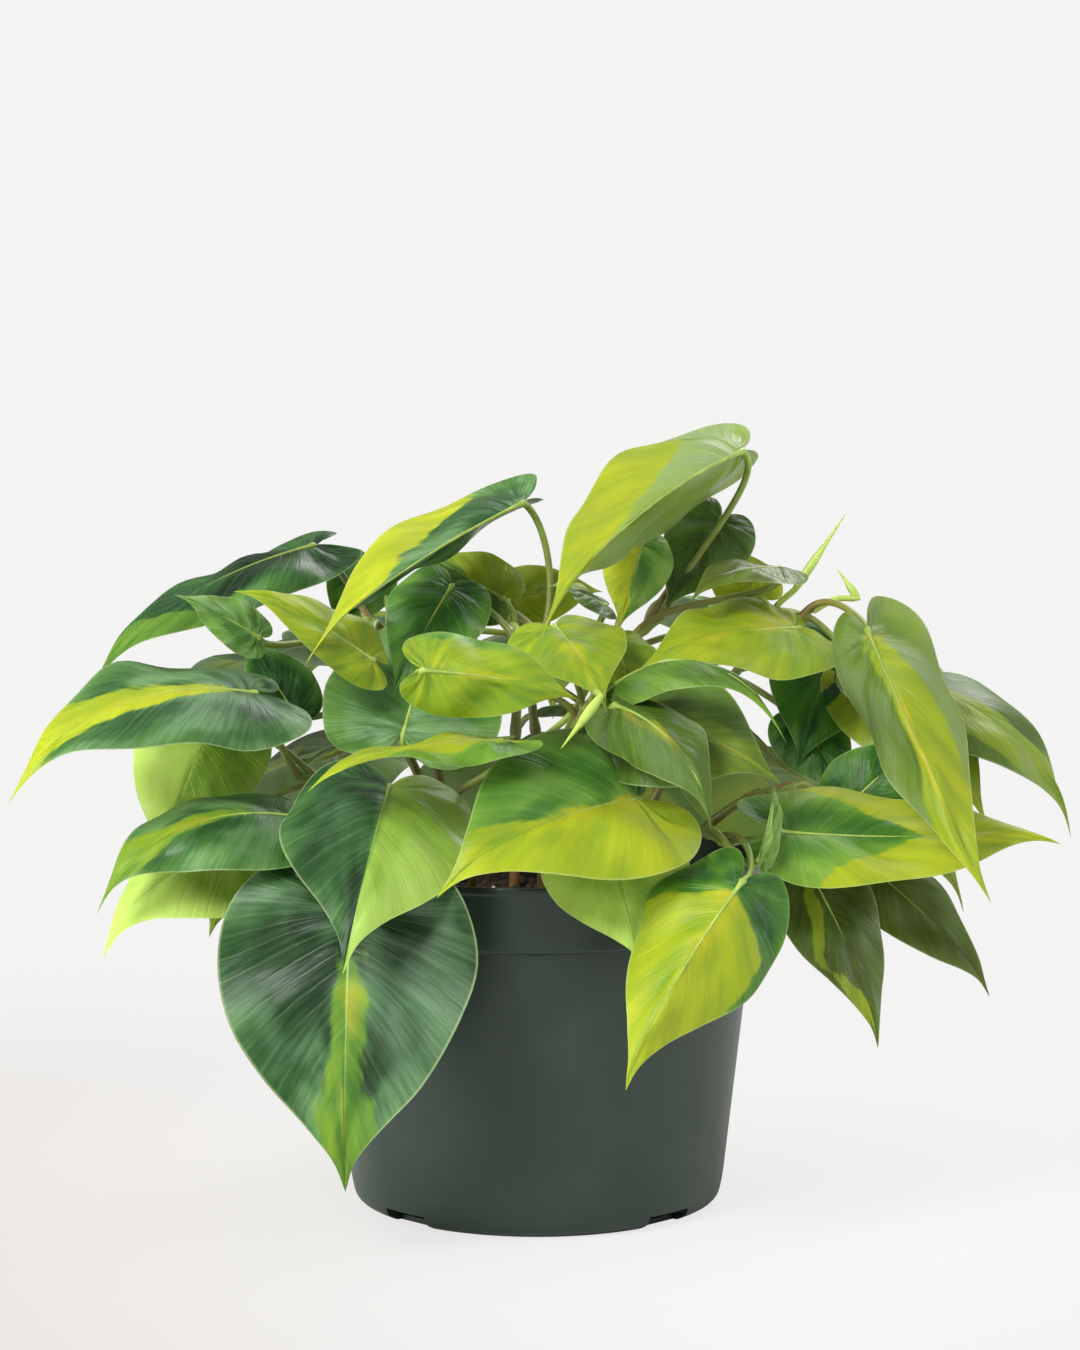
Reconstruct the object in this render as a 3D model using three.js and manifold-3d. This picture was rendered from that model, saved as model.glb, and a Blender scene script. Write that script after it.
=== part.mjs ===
// A brasil philodendron in a plastic nursery pot: the pot, its soil, and the leafy stems that stand in it.
// Millimetres, +Z up. The origin is the middle of the pot's flat underside; +X is right and -Y is the front.
import * as THREE from "three";
import { mergeVertices } from "three/addons/utils/BufferGeometryUtils.js";
import Module from "manifold-3d";

// Driving dimensions of the pot
const POT_HEIGHT = 123;
const RIM_RADIUS = 80;
const COLLAR_BOTTOM = 100; // the band round the top starts here
const COLLAR_RADIUS = 78; // of the band at its lower edge
const WALL_TOP_RADIUS = 76; // just under the band
const WALL_FOOT_RADIUS = 65.6; // where the wall turns in to the foot
const FOOT_RADIUS = 59.5;
const FOOT_TURN = 9; // height at which the wall turns in
const WALL = 1.8;
const POT_SIDES = 48;
const DRAIN_ANGLES = [45, 135, 225, 315]; // degrees, one notch at each
const DRAIN_WIDTH = 19;
const DRAIN_HEIGHT = 5;
const DRAIN_INNER = 57; // the notches reach in to this radius

// Soil
const SOIL_TOP = 110;
const SOIL_GAP = 0.4; // between the soil and the side of the pot
const SOIL_SIDES = 28;
const SOIL_RINGS = [58, 38, 18]; // radii of the rings of points in its uneven top
const SOIL_BUMP = 1.6; // those rise and fall by about this much

// Stems, leaf stalks and blades
const STEM_RADIUS = 2;
const STEM_FOOT = 88; // the stems stand this high in the soil
const HOLE_GAP = 0.8; // round each stem where it goes into the soil
const HOLE_SIDES = 8;
const STALK_RADIUS = 1.2;
const SHOOT_TIP = 0.35; // radius of a rolled young leaf at its tip
const BLADE_THICKNESS = 0.7;
const BLADE_ACROSS = 2; // strips from the midrib to the edge
const SMALL_LEAF = 50; // a shorter blade has one
const STALK_RUN = 5; // the stalk goes this far along the blade, under its midrib
const STALK_DROP = 0.3; // and its line lies this far under the blade's middle
const SLIVER = 0.03; // joined shapes may be tidied by this much

// One half of a blade from the notch at its base to its tip: how far along the midrib the edge is, how
// far out as a share of the half width, and how far along the midrib the vein to that point starts.
const BLADE_EDGE = [
  [0, 0, 0],
  [-0.12, 0.26, 0],
  [-0.11, 0.7, 0.03],
  [0.1, 0.98, 0.1],
  [0.35, 0.97, 0.25],
  [0.62, 0.62, 0.48],
  [0.84, 0.18, 0.76],
  [1, 0, 1],
];

// One row a stem: its name, the points it runs through (the first is where it rises straight out of the
// soil), and its leaves. One row a leaf: name, how far along the stem its stalk starts (0 to 1), the
// point where the stalk meets the blade, the tip, the way the upper face looks, half width over length,
// how far the midrib bows out, then for [left, right] half the slope beside the midrib and the further
// turn by the edge, both in degrees.
const STEM_PLAN = [
  ["front_left", [[-22, -34], [-23, -37, 126], [-32, -50, 142], [-44, -58, 146]], [
    ["a1", 0.86, [-61.5, -86, 120], [-63.5, -104, 26], [-0.05, -1, 0.15], 0.455, 0.05, [10, -3], [8, 2]],
    ["a2", 0.97, [-49, -70, 156], [-62, -124, 106], [0.1, -1, 1], 0.46, 0.08, [0, 0], [-30, -30]],
    ["m1", 0.75, [-12, -74, 172], [-75, -104, 164], [0, -0.03, 1], 0.3, 0.04, [0, 0], [-15, -15]],
    ["u1", 0.64, [-82, -56, 144], [-146, -89, 121], [-0.3, -0.5, 1], 0.37, 0.16, [-10, 0], [-25, -20]],
  ]],
  ["front_middle", [[2, -40], [2, -41, 130], [6, -46, 158], [18, -62, 184]], [
    ["c1", 0.52, [34, -70, 152], [-32, -112, 130], [-0.1, -0.9, 1.1], 0.43, 0.08, [4, 28], [-18, -30]],
    ["j1", 0.79, [30, -58, 180], [80, -84, 161], [-0.2, -0.9, 0.8], 0.42, 0.06, [0, 0], [-20, -20]],
    ["j2", 0.63, [26, -76, 184], [58, -107, 149], [0.6, -0.9, 0.8], 0.3, 0.16, [5, -50], [-25, -40]],
    ["k1", 0.97, [25, -64, 189], [82, -98, 178], [0, -0.2, 1], 0.19, 0.24, [-40, -35], [-20, -20]],
    ["k2", 0.91, [6, -34, 206], [23, -78, 185], [0, -0.8, 1], 0.4, 0.06, [0, 0], [-20, -20]],
    ["k3", 0.86, [-37, -88, 197], [15, -84, 188], [0.1, -1, 0.8], 0.34, 0.04, [0, -60], [-20, -10]],
    ["k4", 0.72, [26, -22, 199], [36, -48, 180], [0, -1, 0.6], 0.38, 0.04, [0, 0], [-20, -20]],
  ]],
  ["front_right", [[34, -38], [38, -43, 126], [54, -56, 138], [66, -62, 134]], [
    ["d1", 0.68, [24, -75, 140], [34, -95, 101], [0.1, -1, 0.3], 0.56, 0.03, [0, 0], [-12, -12]],
    ["e1", 0.91, [67, -95, 128], [27, -121, 66], [-0.4, -1, 0.5], 0.35, 0.06, [-40, -5], [-25, -25]],
    ["f1", 0.97, [82, -64, 140], [179, -48, 139], [0, -0.6, 1], 0.23, -0.03, [12, -5], [-20, -15]],
    ["f2", 0.82, [74, -78, 132], [80, -66, 158], [1, -0.5, 0], 0.2, 0.02, [30, 30], [10, 10]],
  ]],
  ["right", [[50, -8], [54, -10, 128], [72, -18, 144], [92, -24, 150]], [
    ["g1", 0.76, [92, -40, 124], [117, -62, 67], [0.5, -1, 0.2], 0.28, 0.06, [0, 0], [-20, -20]],
    ["g2", 0.88, [112, -18, 123], [158, -28, 78], [0.2, -1, 0.6], 0.23, 0.08, [0, 0], [-20, -20]],
    ["i1", 0.97, [105, -34, 143], [132, -26, 166], [-0.2, -1, 0.4], 0.44, 0.06, [0, 0], [-20, -20]],
  ]],
  ["right_high", [[26, 8], [30, 6, 140], [60, 0, 188], [96, -2, 208]], [
    ["h1", 0.97, [112, -40, 205], [147, -96, 123], [-0.3, -1, 0.4], 0.21, 0.05, [-28, -30], [-20, -25]],
    ["h2", 0.94, [122, 0, 187], [189, -14, 134], [0.4, -0.6, 1], 0.3, 0.13, [-5, 0], [-20, -20]],
    ["h3", 0.87, [117, 8, 187], [156, -22, 139], [0.3, -1, 0.4], 0.34, 0.06, [0, 0], [-20, -20]],
    ["y1", 0.8, [91, -9, 203], [34, -47, 195], [0, -0.7, 1], 0.35, 0.06, [0, 0], [-20, -20]],
    ["aa1", 0.73, [104, 14, 196], [91, -6, 154], [0, -1, 0.3], 0.42, 0.05, [0, 0], [-20, -20]],
    ["aa2", 0.66, [92, 6, 170], [108, -8, 142], [0, -1, 0.7], 0.4, 0.05, [0, 0], [-20, -20]],
    ["h4", 0.5, [46, 18, 174], [86, 14, 156], [0, 0, 1], 0.4, 0.06, [0, 0], [-20, -20]],
  ]],
  ["top", [[14, -6], [15, -6, 140], [26, -4, 188], [46, 4, 208]], [
    ["x1", 0.97, [71, -2, 264], [0, -60, 210], [-0.3, -0.8, 0.9], 0.31, 0.08, [-115, -4], [-5, -10]],
    ["x3", 0.9, [65, 18, 239], [44, 0, 208], [0, -1, 0.5], 0.38, 0.05, [0, 0], [-20, -20]],
    ["x4", 0.86, [84, 2, 223], [52, -26, 216], [0, -0.2, 1], 0.36, 0.08, [0, 0], [-20, -20]],
    ["x5", 0.72, [80, 24, 210], [56, 32, 228], [0, -1, 0.3], 0.36, 0.04, [0, 0], [-20, -20]],
    ["bb4", 0.65, [37, 0, 232], [28, -16, 203], [0, -1, 0.2], 0.36, 0.05, [0, 0], [-20, -20]],
  ]],
  ["left", [[-48, -4], [-51, -5, 128], [-68, -11, 148], [-84, -16, 152]], [
    ["s1", 0.97, [-96, -40, 184], [-177, -72, 156], [-0.1, -0.5, 1], 0.35, 0.16, [0, 0], [-22, -20]],
    ["t1", 0.9, [-112, -14, 172], [-130, -38, 124], [-0.1, -1, 0.5], 0.43, 0.05, [0, 0], [-20, -20]],
    ["v1", 0.8, [-92, -46, 132], [-146, -74, 102], [-0.4, -0.7, 0.8], 0.4, 0.17, [-10, 0], [-25, -20]],
    ["w1", 0.7, [-98, -8, 140], [-113, -30, 99], [0, -1, 0.4], 0.4, 0.05, [0, 0], [-20, -20]],
    ["w2", 0.6, [-90, -20, 138], [-99, -42, 107], [0, -1, 0.4], 0.38, 0.05, [0, 0], [-20, -20]],
  ]],
  ["left_high", [[-30, 14], [-33, 14, 140], [-46, 14, 188], [-62, 14, 206]], [
    ["r1", 0.97, [-79, 14, 230], [-156, -28, 187], [-0.3, -0.6, 1], 0.2, 0.08, [-12, -14], [-15, -15]],
    ["q1", 0.75, [-94, -42, 203], [-120, -56, 219], [0, -1, 0.5], 0.27, 0.05, [0, 0], [-20, -20]],
    ["p1", 0.91, [-56, -30, 194], [-100, -48, 221], [0, -0.8, 0.8], 0.24, 0.05, [0, 0], [-20, -20]],
    ["cc1", 0.83, [-60, 30, 222], [-70, 16, 196], [0, -1, 0.4], 0.4, 0.04, [0, 0], [-20, -20]],
    ["dd2", 0.62, [-84, -4, 172], [-102, -10, 200], [0, -1, 0.4], 0.4, 0.04, [0, 0], [-20, -20]],
    ["l2", 0.46, [-48, 26, 164], [-88, 18, 148], [-0.2, 0.1, 1], 0.4, 0.06, [0, 0], [-20, -20]],
  ]],
  ["middle", [[-8, 2], [-8, 2, 140], [-6, 4, 184], [4, 6, 202]], [
    ["l1", 0.97, [-5, 0, 246], [-79, -52, 200], [-0.2, -0.8, 0.9], 0.25, 0.045, [-125, -8], [-5, -10]],
    ["p2", 0.84, [-30, 6, 216], [-50, -20, 182], [0, -0.9, 0.6], 0.38, 0.05, [0, 0], [-20, -20]],
    ["n1", 0.5, [-46, -30, 168], [-32, 24, 212], [0, -1, 0.9], 0.45, 0.05, [0, 0], [-20, -20]],
    ["bb1", 0.77, [-12, 16, 211], [-42, 26, 226], [0, -1, 0.5], 0.38, 0.04, [0, 0], [-20, -20]],
    ["bb2", 0.92, [-11, 34, 210], [24, 40, 212], [0, -1, 0.5], 0.34, 0.04, [0, 0], [-20, -20]],
    ["bb3", 0.7, [24, 12, 209], [4, -2, 218], [0, -0.6, 1], 0.36, 0.04, [0, 0], [-20, -20]],
    ["n2", 0.64, [-18, 24, 184], [-50, 42, 166], [-0.2, 0.3, 1], 0.38, 0.06, [0, 0], [-20, -20]],
    ["n3", 0.46, [14, 24, 172], [42, 62, 156], [0.1, 0.3, 1], 0.4, 0.06, [0, 0], [-20, -20]],
  ]],
  ["back_left", [[-34, 36], [-37, 39, 130], [-50, 48, 158], [-62, 54, 172]], [
    ["b1", 0.97, [-76, 38, 194], [-144, 76, 160], [-0.3, 0.3, 1], 0.42, 0.08, [0, 0], [-20, -20]],
    ["b2", 0.72, [-90, 42, 150], [-150, 56, 96], [-0.8, 0.5, 1], 0.42, 0.08, [0, 0], [-20, -20]],
    ["b3", 0.86, [-70, 76, 152], [-108, 116, 92], [-0.6, 1, 0.7], 0.4, 0.08, [0, 0], [-20, -20]],
  ]],
  ["back_middle", [[2, 40], [2, 44, 140], [-2, 52, 175], [4, 60, 192]], [
    ["b4", 0.9, [-50, 62, 202], [-92, 126, 170], [-0.3, 0.5, 1], 0.4, 0.08, [0, 0], [-20, -20]],
    ["b5", 0.97, [4, 76, 194], [6, 146, 158], [0, 0.5, 1], 0.36, 0.08, [0, 0], [-20, -20]],
    ["b6", 0.64, [-12, 92, 146], [-18, 130, 66], [0, 1, 0.5], 0.38, 0.08, [0, 0], [-20, -20]],
    ["b7", 0.76, [38, 88, 150], [54, 128, 76], [0.2, 1, 0.5], 0.4, 0.08, [0, 0], [-20, -20]],
  ]],
  ["back_right", [[36, 34], [40, 37, 132], [60, 42, 168], [74, 46, 184]], [
    ["b8", 0.97, [64, 64, 206], [92, 128, 170], [0.2, 0.6, 1], 0.4, 0.08, [0, 0], [-20, -20]],
    ["b9", 0.9, [98, 56, 186], [156, 90, 148], [0.4, 0.4, 1], 0.42, 0.08, [0, 0], [-20, -20]],
    ["b10", 0.68, [78, 68, 146], [118, 102, 80], [0.6, 1, 0.6], 0.42, 0.08, [0, 0], [-20, -20]],
    ["b11", 0.78, [100, 34, 146], [158, 48, 98], [0.8, 0.5, 1], 0.42, 0.08, [0, 0], [-20, -20]],
  ]],
];

// Thin young growths, one row each: stem, how far along it, the foot, the tip and the foot's radius.
const SHOOT_PLAN = [
  ["right_high", 0.85, [90, 4, 215], [108, 10, 241], 1.3],
  ["right_high", 1, [112, 2, 212], [105, 6, 222], 1.1],
  ["middle", 0.9, [-11, 20, 203], [-11, 22, 222], 1.3],
  ["front_middle", 1, [21, -80, 187], [8, -96, 172], 1.4],
];

const wasm = await Module();
wasm.setup();

// A closed solid from a three.js shape
function solidOf(shape) {
  const bare = new THREE.BufferGeometry();
  bare.setAttribute("position", shape.getAttribute("position"));
  bare.setIndex(shape.getIndex());
  const joined = mergeVertices(bare, 0.0001);
  const corners = joined.getIndex().array;
  const kept = [];
  for (let k = 0; k < corners.length; k += 3) {
    const [a, b, c] = corners.slice(k, k + 3);
    if (a !== b && b !== c && c !== a) {
      kept.push(a, b, c);
    }
  }
  return new wasm.Manifold(new wasm.Mesh({
    numProp: 3,
    vertProperties: new Float32Array(joined.getAttribute("position").array),
    triVerts: new Uint32Array(kept),
  }));
}

// A named mesh from a solid; slivers left by the joins are closed up first
function meshOf(name, solid, color) {
  const data = solid.simplify(SLIVER).getMesh();
  const shape = new THREE.BufferGeometry();
  shape.setAttribute("position", new THREE.BufferAttribute(new Float32Array(data.vertProperties), 3));
  shape.setIndex(new THREE.BufferAttribute(new Uint32Array(data.triVerts), 1));
  shape.computeVertexNormals();
  const mesh = new THREE.Mesh(shape, new THREE.MeshStandardMaterial({ color, roughness: 0.6 }));
  mesh.name = name;
  return mesh;
}

// A solid turned from its profile about the pot's axis; three.js turns about Y, so it is stood up
function turned(profile, sides) {
  const shape = new THREE.LatheGeometry(profile.map(([r, z]) => new THREE.Vector2(r, z)), sides);
  return shape.rotateX(Math.PI / 2);
}

// A round rod along a smooth path
function rod(points, radius, sides, steps) {
  const round = new THREE.Shape();
  for (let k = 0; k < sides; k++) {
    const angle = (2 * Math.PI * k) / sides;
    const [x, y] = [radius * Math.cos(angle), radius * Math.sin(angle)];
    if (k === 0) {
      round.moveTo(x, y);
    } else {
      round.lineTo(x, y);
    }
  }
  const extrudePath = new THREE.CatmullRomCurve3(points, false, "catmullrom", 0.5);
  return solidOf(new THREE.ExtrudeGeometry(round, { extrudePath, steps, bevelEnabled: false }));
}

// Inner radius of the pot at a height above its foot
function innerRadius(z) {
  if (z >= COLLAR_BOTTOM + WALL) {
    const share = (z - COLLAR_BOTTOM) / (POT_HEIGHT - COLLAR_BOTTOM);
    return THREE.MathUtils.lerp(COLLAR_RADIUS, RIM_RADIUS, share) - WALL;
  }
  const share = (z - FOOT_TURN) / (COLLAR_BOTTOM - FOOT_TURN);
  return THREE.MathUtils.lerp(WALL_FOOT_RADIUS, WALL_TOP_RADIUS, share) - WALL;
}

function potSolid() {
  const profile = [
    [0, 0],
    [FOOT_RADIUS, 0],
    [FOOT_RADIUS + 3.4, 1],
    [FOOT_RADIUS + 5.4, 3.4],
    [WALL_FOOT_RADIUS, FOOT_TURN],
    [WALL_TOP_RADIUS, COLLAR_BOTTOM],
    [COLLAR_RADIUS, COLLAR_BOTTOM + 0.6],
    [RIM_RADIUS, POT_HEIGHT - 0.5],
    [RIM_RADIUS - 0.5, POT_HEIGHT],
    [RIM_RADIUS - WALL, POT_HEIGHT],
    [innerRadius(COLLAR_BOTTOM + WALL), COLLAR_BOTTOM + WALL],
    [innerRadius(COLLAR_BOTTOM), COLLAR_BOTTOM],
    [innerRadius(FOOT_TURN), FOOT_TURN],
    [FOOT_RADIUS, WALL + 1],
    [FOOT_RADIUS - 2, WALL],
    [0, WALL],
  ];
  let pot = solidOf(turned(profile, POT_SIDES));
  const reach = WALL_FOOT_RADIUS + 4 - DRAIN_INNER;
  const notch = new THREE.BoxGeometry(reach, DRAIN_WIDTH, 2 * DRAIN_HEIGHT);
  notch.translate(DRAIN_INNER + reach / 2, 0, 0);
  for (const angle of DRAIN_ANGLES) {
    const turnedNotch = notch.clone().rotateZ(THREE.MathUtils.degToRad(angle));
    pot = pot.subtract(solidOf(turnedNotch));
  }
  return pot;
}

// The soil stands on the pot's floor; its top is uneven and each stem has its own hole
function soilSolid() {
  const profile = [
    [0, WALL],
    [DRAIN_INNER - 1, WALL],
    [FOOT_RADIUS - 1, WALL + 3],
    [innerRadius(FOOT_TURN) - SOIL_GAP, FOOT_TURN + 1],
    [innerRadius(COLLAR_BOTTOM) - SOIL_GAP, COLLAR_BOTTOM],
    [innerRadius(COLLAR_BOTTOM + WALL) - SOIL_GAP, COLLAR_BOTTOM + WALL + 1],
    [innerRadius(SOIL_TOP) - SOIL_GAP, SOIL_TOP],
    ...SOIL_RINGS.map((radius) => [radius, SOIL_TOP]),
    [0, SOIL_TOP],
  ];
  const shape = turned(profile, SOIL_SIDES);
  const place = shape.getAttribute("position");
  for (let k = 0; k < place.count; k++) {
    const [x, y, z] = [place.getX(k), place.getY(k), place.getZ(k)];
    if (z > SOIL_TOP - 0.01 && Math.hypot(x, y) < SOIL_RINGS[0] + 1) {
      const bump = Math.sin(x * 0.17 + 1) * Math.cos(y * 0.14) + 0.6 * Math.sin((x + y) * 0.31);
      place.setZ(k, z + SOIL_BUMP * bump);
    }
  }
  let soil = solidOf(shape);
  const radius = STEM_RADIUS + HOLE_GAP;
  const height = 2 * (SOIL_TOP - STEM_FOOT);
  for (const [, [[x, y]]] of STEM_PLAN) {
    const hole = new THREE.CylinderGeometry(radius, radius, height, HOLE_SIDES);
    hole.rotateX(Math.PI / 2).translate(x, y, SOIL_TOP);
    soil = soil.subtract(solidOf(hole));
  }
  return soil;
}

// The line of a stem: straight up through the soil, then on through its points
function stemLine([[x, y], ...rest]) {
  const points = [[x, y, STEM_FOOT], [x, y, SOIL_TOP + 2], ...rest];
  const line = points.map((point) => new THREE.Vector3(...point));
  return new THREE.CatmullRomCurve3(line, false, "catmullrom", 0.5);
}

// A leaf's base, chord and upper side, worked out once from its row
function leafOf([name, at, base, tip, face, wide, arch, fold, curl]) {
  const foot = new THREE.Vector3(...base);
  const chord = new THREE.Vector3(...tip).sub(foot);
  const length = chord.length();
  const along = chord.clone().normalize();
  const up = new THREE.Vector3(...face);
  up.addScaledVector(along, -up.dot(along)).normalize();
  const slopes = [-1, 1].map((side, k) => ({
    side,
    start: THREE.MathUtils.degToRad(fold[k]),
    turn: THREE.MathUtils.degToRad(curl[k]),
  }));
  return { name, at, foot, chord, length, along, up, wide, arch, slopes };
}

// Where the midrib is at a share of its length, and the way it runs there
function midrib(leaf, share) {
  const on = THREE.MathUtils.clamp(share, 0, 1);
  const bow = leaf.arch * 4 * on * (1 - on) * leaf.length;
  const run = leaf.along.clone().addScaledVector(leaf.up, leaf.arch * 4 * (1 - 2 * on));
  const point = leaf.foot.clone().addScaledVector(leaf.chord, on).addScaledVector(leaf.up, bow);
  if (share < 0) {
    point.addScaledVector(run, leaf.length * share);
  }
  return { point, run: run.normalize() };
}

// A point of the blade: share along the midrib, and out from it as a share of the half width
function bladePoint(leaf, share, out, side) {
  const { point, run } = midrib(leaf, share);
  const up = leaf.up.clone().addScaledVector(run, -leaf.up.dot(run)).normalize();
  const across = run.clone().cross(up).multiplyScalar(side);
  const { start, turn } = leaf.slopes[side < 0 ? 0 : 1];
  const end = start + turn * out;
  const reach = (leaf.length * leaf.wide) / turn;
  point.addScaledVector(across, reach * (Math.sin(end) - Math.sin(start)));
  point.addScaledVector(up, reach * (Math.cos(start) - Math.cos(end)));
  return point;
}

// The blade: one sheet of triangles, moved out to both sides by half the thickness and closed round the rim
function bladeSolid(leaf) {
  const points = [];
  const corners = [];
  const strips = leaf.length < SMALL_LEAF ? 1 : BLADE_ACROSS;
  const wide = 2 * strips + 1;
  BLADE_EDGE.forEach(([edge, out, vein], row) => {
    for (let column = 0; column < wide; column++) {
      const step = column - strips;
      const share = Math.abs(step) / strips;
      const side = step < 0 ? -1 : 1;
      points.push(...bladePoint(leaf, vein + (edge - vein) * share, out * share, side).toArray());
      if (row > 0 && column > 0) {
        const here = row * wide + column;
        const [left, back, corner] = [here - 1, here - wide, here - wide - 1];
        if (step <= 0) {
          corners.push(corner, back, left, back, here, left);
        } else {
          corners.push(corner, back, here, corner, here, left);
        }
      }
    }
  });
  const raw = new THREE.BufferGeometry();
  raw.setAttribute("position", new THREE.Float32BufferAttribute(points, 3));
  raw.setIndex(corners);
  const sheet = mergeVertices(raw, 0.0001);
  sheet.computeVertexNormals();
  const place = sheet.getAttribute("position");
  const normal = sheet.getAttribute("normal");
  const count = place.count;
  const both = [];
  for (const side of [1, -1]) {
    for (let k = 0; k < count; k++) {
      const point = new THREE.Vector3().fromBufferAttribute(place, k);
      const away = new THREE.Vector3().fromBufferAttribute(normal, k);
      both.push(...point.addScaledVector(away, (side * BLADE_THICKNESS) / 2).toArray());
    }
  }
  const index = sheet.getIndex().array;
  const faces = [];
  const edges = new Map();
  for (let k = 0; k < index.length; k += 3) {
    const [a, b, c] = index.slice(k, k + 3);
    if (a === b || b === c || c === a) {
      continue;
    }
    faces.push(a, b, c, c + count, b + count, a + count);
    for (const [from, to] of [[a, b], [b, c], [c, a]]) {
      edges.set(from * count + to, [from, to]);
    }
  }
  for (const [from, to] of edges.values()) {
    if (!edges.has(to * count + from)) {
      faces.push(to, from, from + count, to, from + count, to + count);
    }
  }
  const closed = new THREE.BufferGeometry();
  closed.setAttribute("position", new THREE.Float32BufferAttribute(both, 3));
  closed.setIndex(faces);
  return solidOf(closed);
}

// The stalk leaves the stem, rises, and comes up under the blade, where it runs on along the midrib
function stalkSolid(leaf, line) {
  const start = line.getPoint(leaf.at);
  const span = leaf.foot.distanceTo(start);
  const rise = line.getTangent(leaf.at).add(new THREE.Vector3(0, 0, 1)).normalize();
  const approach = leaf.up.clone().multiplyScalar(0.8).addScaledVector(midrib(leaf, 0).run, 0.7).normalize();
  const under = leaf.up.clone().multiplyScalar(-STALK_DROP);
  const foot = leaf.foot.clone().add(under);
  const bend = new THREE.CubicBezierCurve3(
    start,
    start.clone().addScaledVector(rise, 0.35 * span),
    foot.clone().addScaledVector(approach, -0.35 * span),
    foot,
  );
  const points = bend.getPoints(4);
  points.push(midrib(leaf, STALK_RUN / leaf.length).point.add(under));
  return rod(points, STALK_RADIUS, 5, 4);
}

// A young growth: a short stalk and a rolled leaf that narrows to its tip
function shootSolid([, at, foot, tip, radius], line) {
  const from = line.getPoint(at);
  const low = new THREE.Vector3(...foot);
  const run = new THREE.Vector3(...tip).sub(low);
  const length = run.length();
  const toward = run.clone().normalize();
  const middle = from.clone().add(low).multiplyScalar(0.5).add(new THREE.Vector3(0, 0, 2));
  const stalk = rod([from, middle, low.clone().addScaledVector(toward, 3)], STALK_RADIUS, 5, 4);
  const roll = new THREE.CylinderGeometry(SHOOT_TIP, radius, length, 7);
  roll.translate(0, length / 2, 0);
  roll.applyQuaternion(new THREE.Quaternion().setFromUnitVectors(new THREE.Vector3(0, 1, 0), toward));
  roll.translate(...foot);
  return stalk.add(solidOf(roll));
}

// One leafy stem, grown together with its stalks, blades and shoots
function leafyStem([name, path, leaves]) {
  const line = stemLine(path);
  let plant = rod(line.points, STEM_RADIUS, 6, 9);
  for (const row of leaves) {
    const leaf = leafOf(row);
    plant = plant.add(stalkSolid(leaf, line)).add(bladeSolid(leaf));
  }
  for (const row of SHOOT_PLAN) {
    if (row[0] === name) {
      plant = plant.add(shootSolid(row, line));
    }
  }
  return plant;
}

const group = new THREE.Group();
group.name = "potted_brasil_philodendron";
group.add(meshOf("pot", potSolid(), 0x3c4642));
group.add(meshOf("soil", soilSolid(), 0x2a1c14));
for (const stem of STEM_PLAN) {
  group.add(meshOf(`stem_${stem[0]}`, leafyStem(stem), 0x6f9f2f));
}

export default group;
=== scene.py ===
# %% [markdown]
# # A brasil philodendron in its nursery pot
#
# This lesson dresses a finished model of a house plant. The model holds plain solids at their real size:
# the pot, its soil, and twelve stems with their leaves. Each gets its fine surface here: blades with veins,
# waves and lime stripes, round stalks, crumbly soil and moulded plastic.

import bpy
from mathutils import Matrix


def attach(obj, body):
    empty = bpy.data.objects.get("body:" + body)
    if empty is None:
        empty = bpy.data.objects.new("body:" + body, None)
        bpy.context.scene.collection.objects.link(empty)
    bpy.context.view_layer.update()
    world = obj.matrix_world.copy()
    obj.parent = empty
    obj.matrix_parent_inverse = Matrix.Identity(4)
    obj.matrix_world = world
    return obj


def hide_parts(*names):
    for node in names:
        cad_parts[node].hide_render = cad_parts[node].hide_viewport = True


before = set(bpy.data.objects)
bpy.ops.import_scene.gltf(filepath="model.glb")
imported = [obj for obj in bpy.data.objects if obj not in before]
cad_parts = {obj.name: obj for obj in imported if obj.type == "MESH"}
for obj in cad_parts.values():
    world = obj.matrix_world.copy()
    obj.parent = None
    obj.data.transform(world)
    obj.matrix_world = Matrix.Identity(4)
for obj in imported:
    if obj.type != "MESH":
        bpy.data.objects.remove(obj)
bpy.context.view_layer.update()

# %% [markdown]
# Lengths below are in millimetres, because that is how leaves and pots are measured. Blender works in
# metres, so each point is scaled once, when its mesh is made. Everything random draws from seeded
# generators, so the plant is the same at each run.

# %% Tools and units
import math

import bpy
import numpy as np

MM = 0.001
STAND_BODY = "root"

# %% [markdown]
# The camera stands 1.4 m in front of the pot, a little above the leaves, and looks down by six degrees
# through a long lens. A long lens from far away keeps the pot's sides almost parallel, as in a shop
# picture.

# %% Camera
CAMERA_AT = (0.001, -1.400, 0.339)
CAMERA_DOWN = 6.26  # degrees below the level
LENS = 107.6  # millimetres, for a frame 36 mm tall

camera = bpy.data.objects.new("camera", bpy.data.cameras.new("camera"))
camera.data.lens = LENS
camera.data.sensor_width = 36
camera.location = CAMERA_AT
camera.rotation_euler = (math.radians(90 - CAMERA_DOWN), 0, 0)
bpy.context.scene.collection.objects.link(camera)
bpy.context.scene.camera = camera

# %% [markdown]
# Every material here is a tree of nodes, and building one by hand takes many lines. Four small helpers
# keep that short: one fills an input, with a plain value or with the output of another node, one makes a
# node and fills its inputs, one does a sum, and one mixes two colours.

# %% Node helpers
def fill(tree, socket, value):
    if isinstance(value, bpy.types.NodeSocket):
        tree.links.new(value, socket)
    else:
        socket.default_value = value


def node(tree, kind, inputs=None, **settings):
    made = tree.nodes.new(kind)
    for key, value in settings.items():
        setattr(made, key, value)
    for key, value in (inputs or {}).items():
        fill(tree, made.inputs[key], value)
    return made


def sum_of(tree, operation, *values, clamp=False):
    made = tree.nodes.new("ShaderNodeMath")
    made.operation = operation
    made.use_clamp = clamp
    for socket, value in zip(made.inputs, values):
        fill(tree, socket, value)
    return made.outputs[0]


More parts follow.
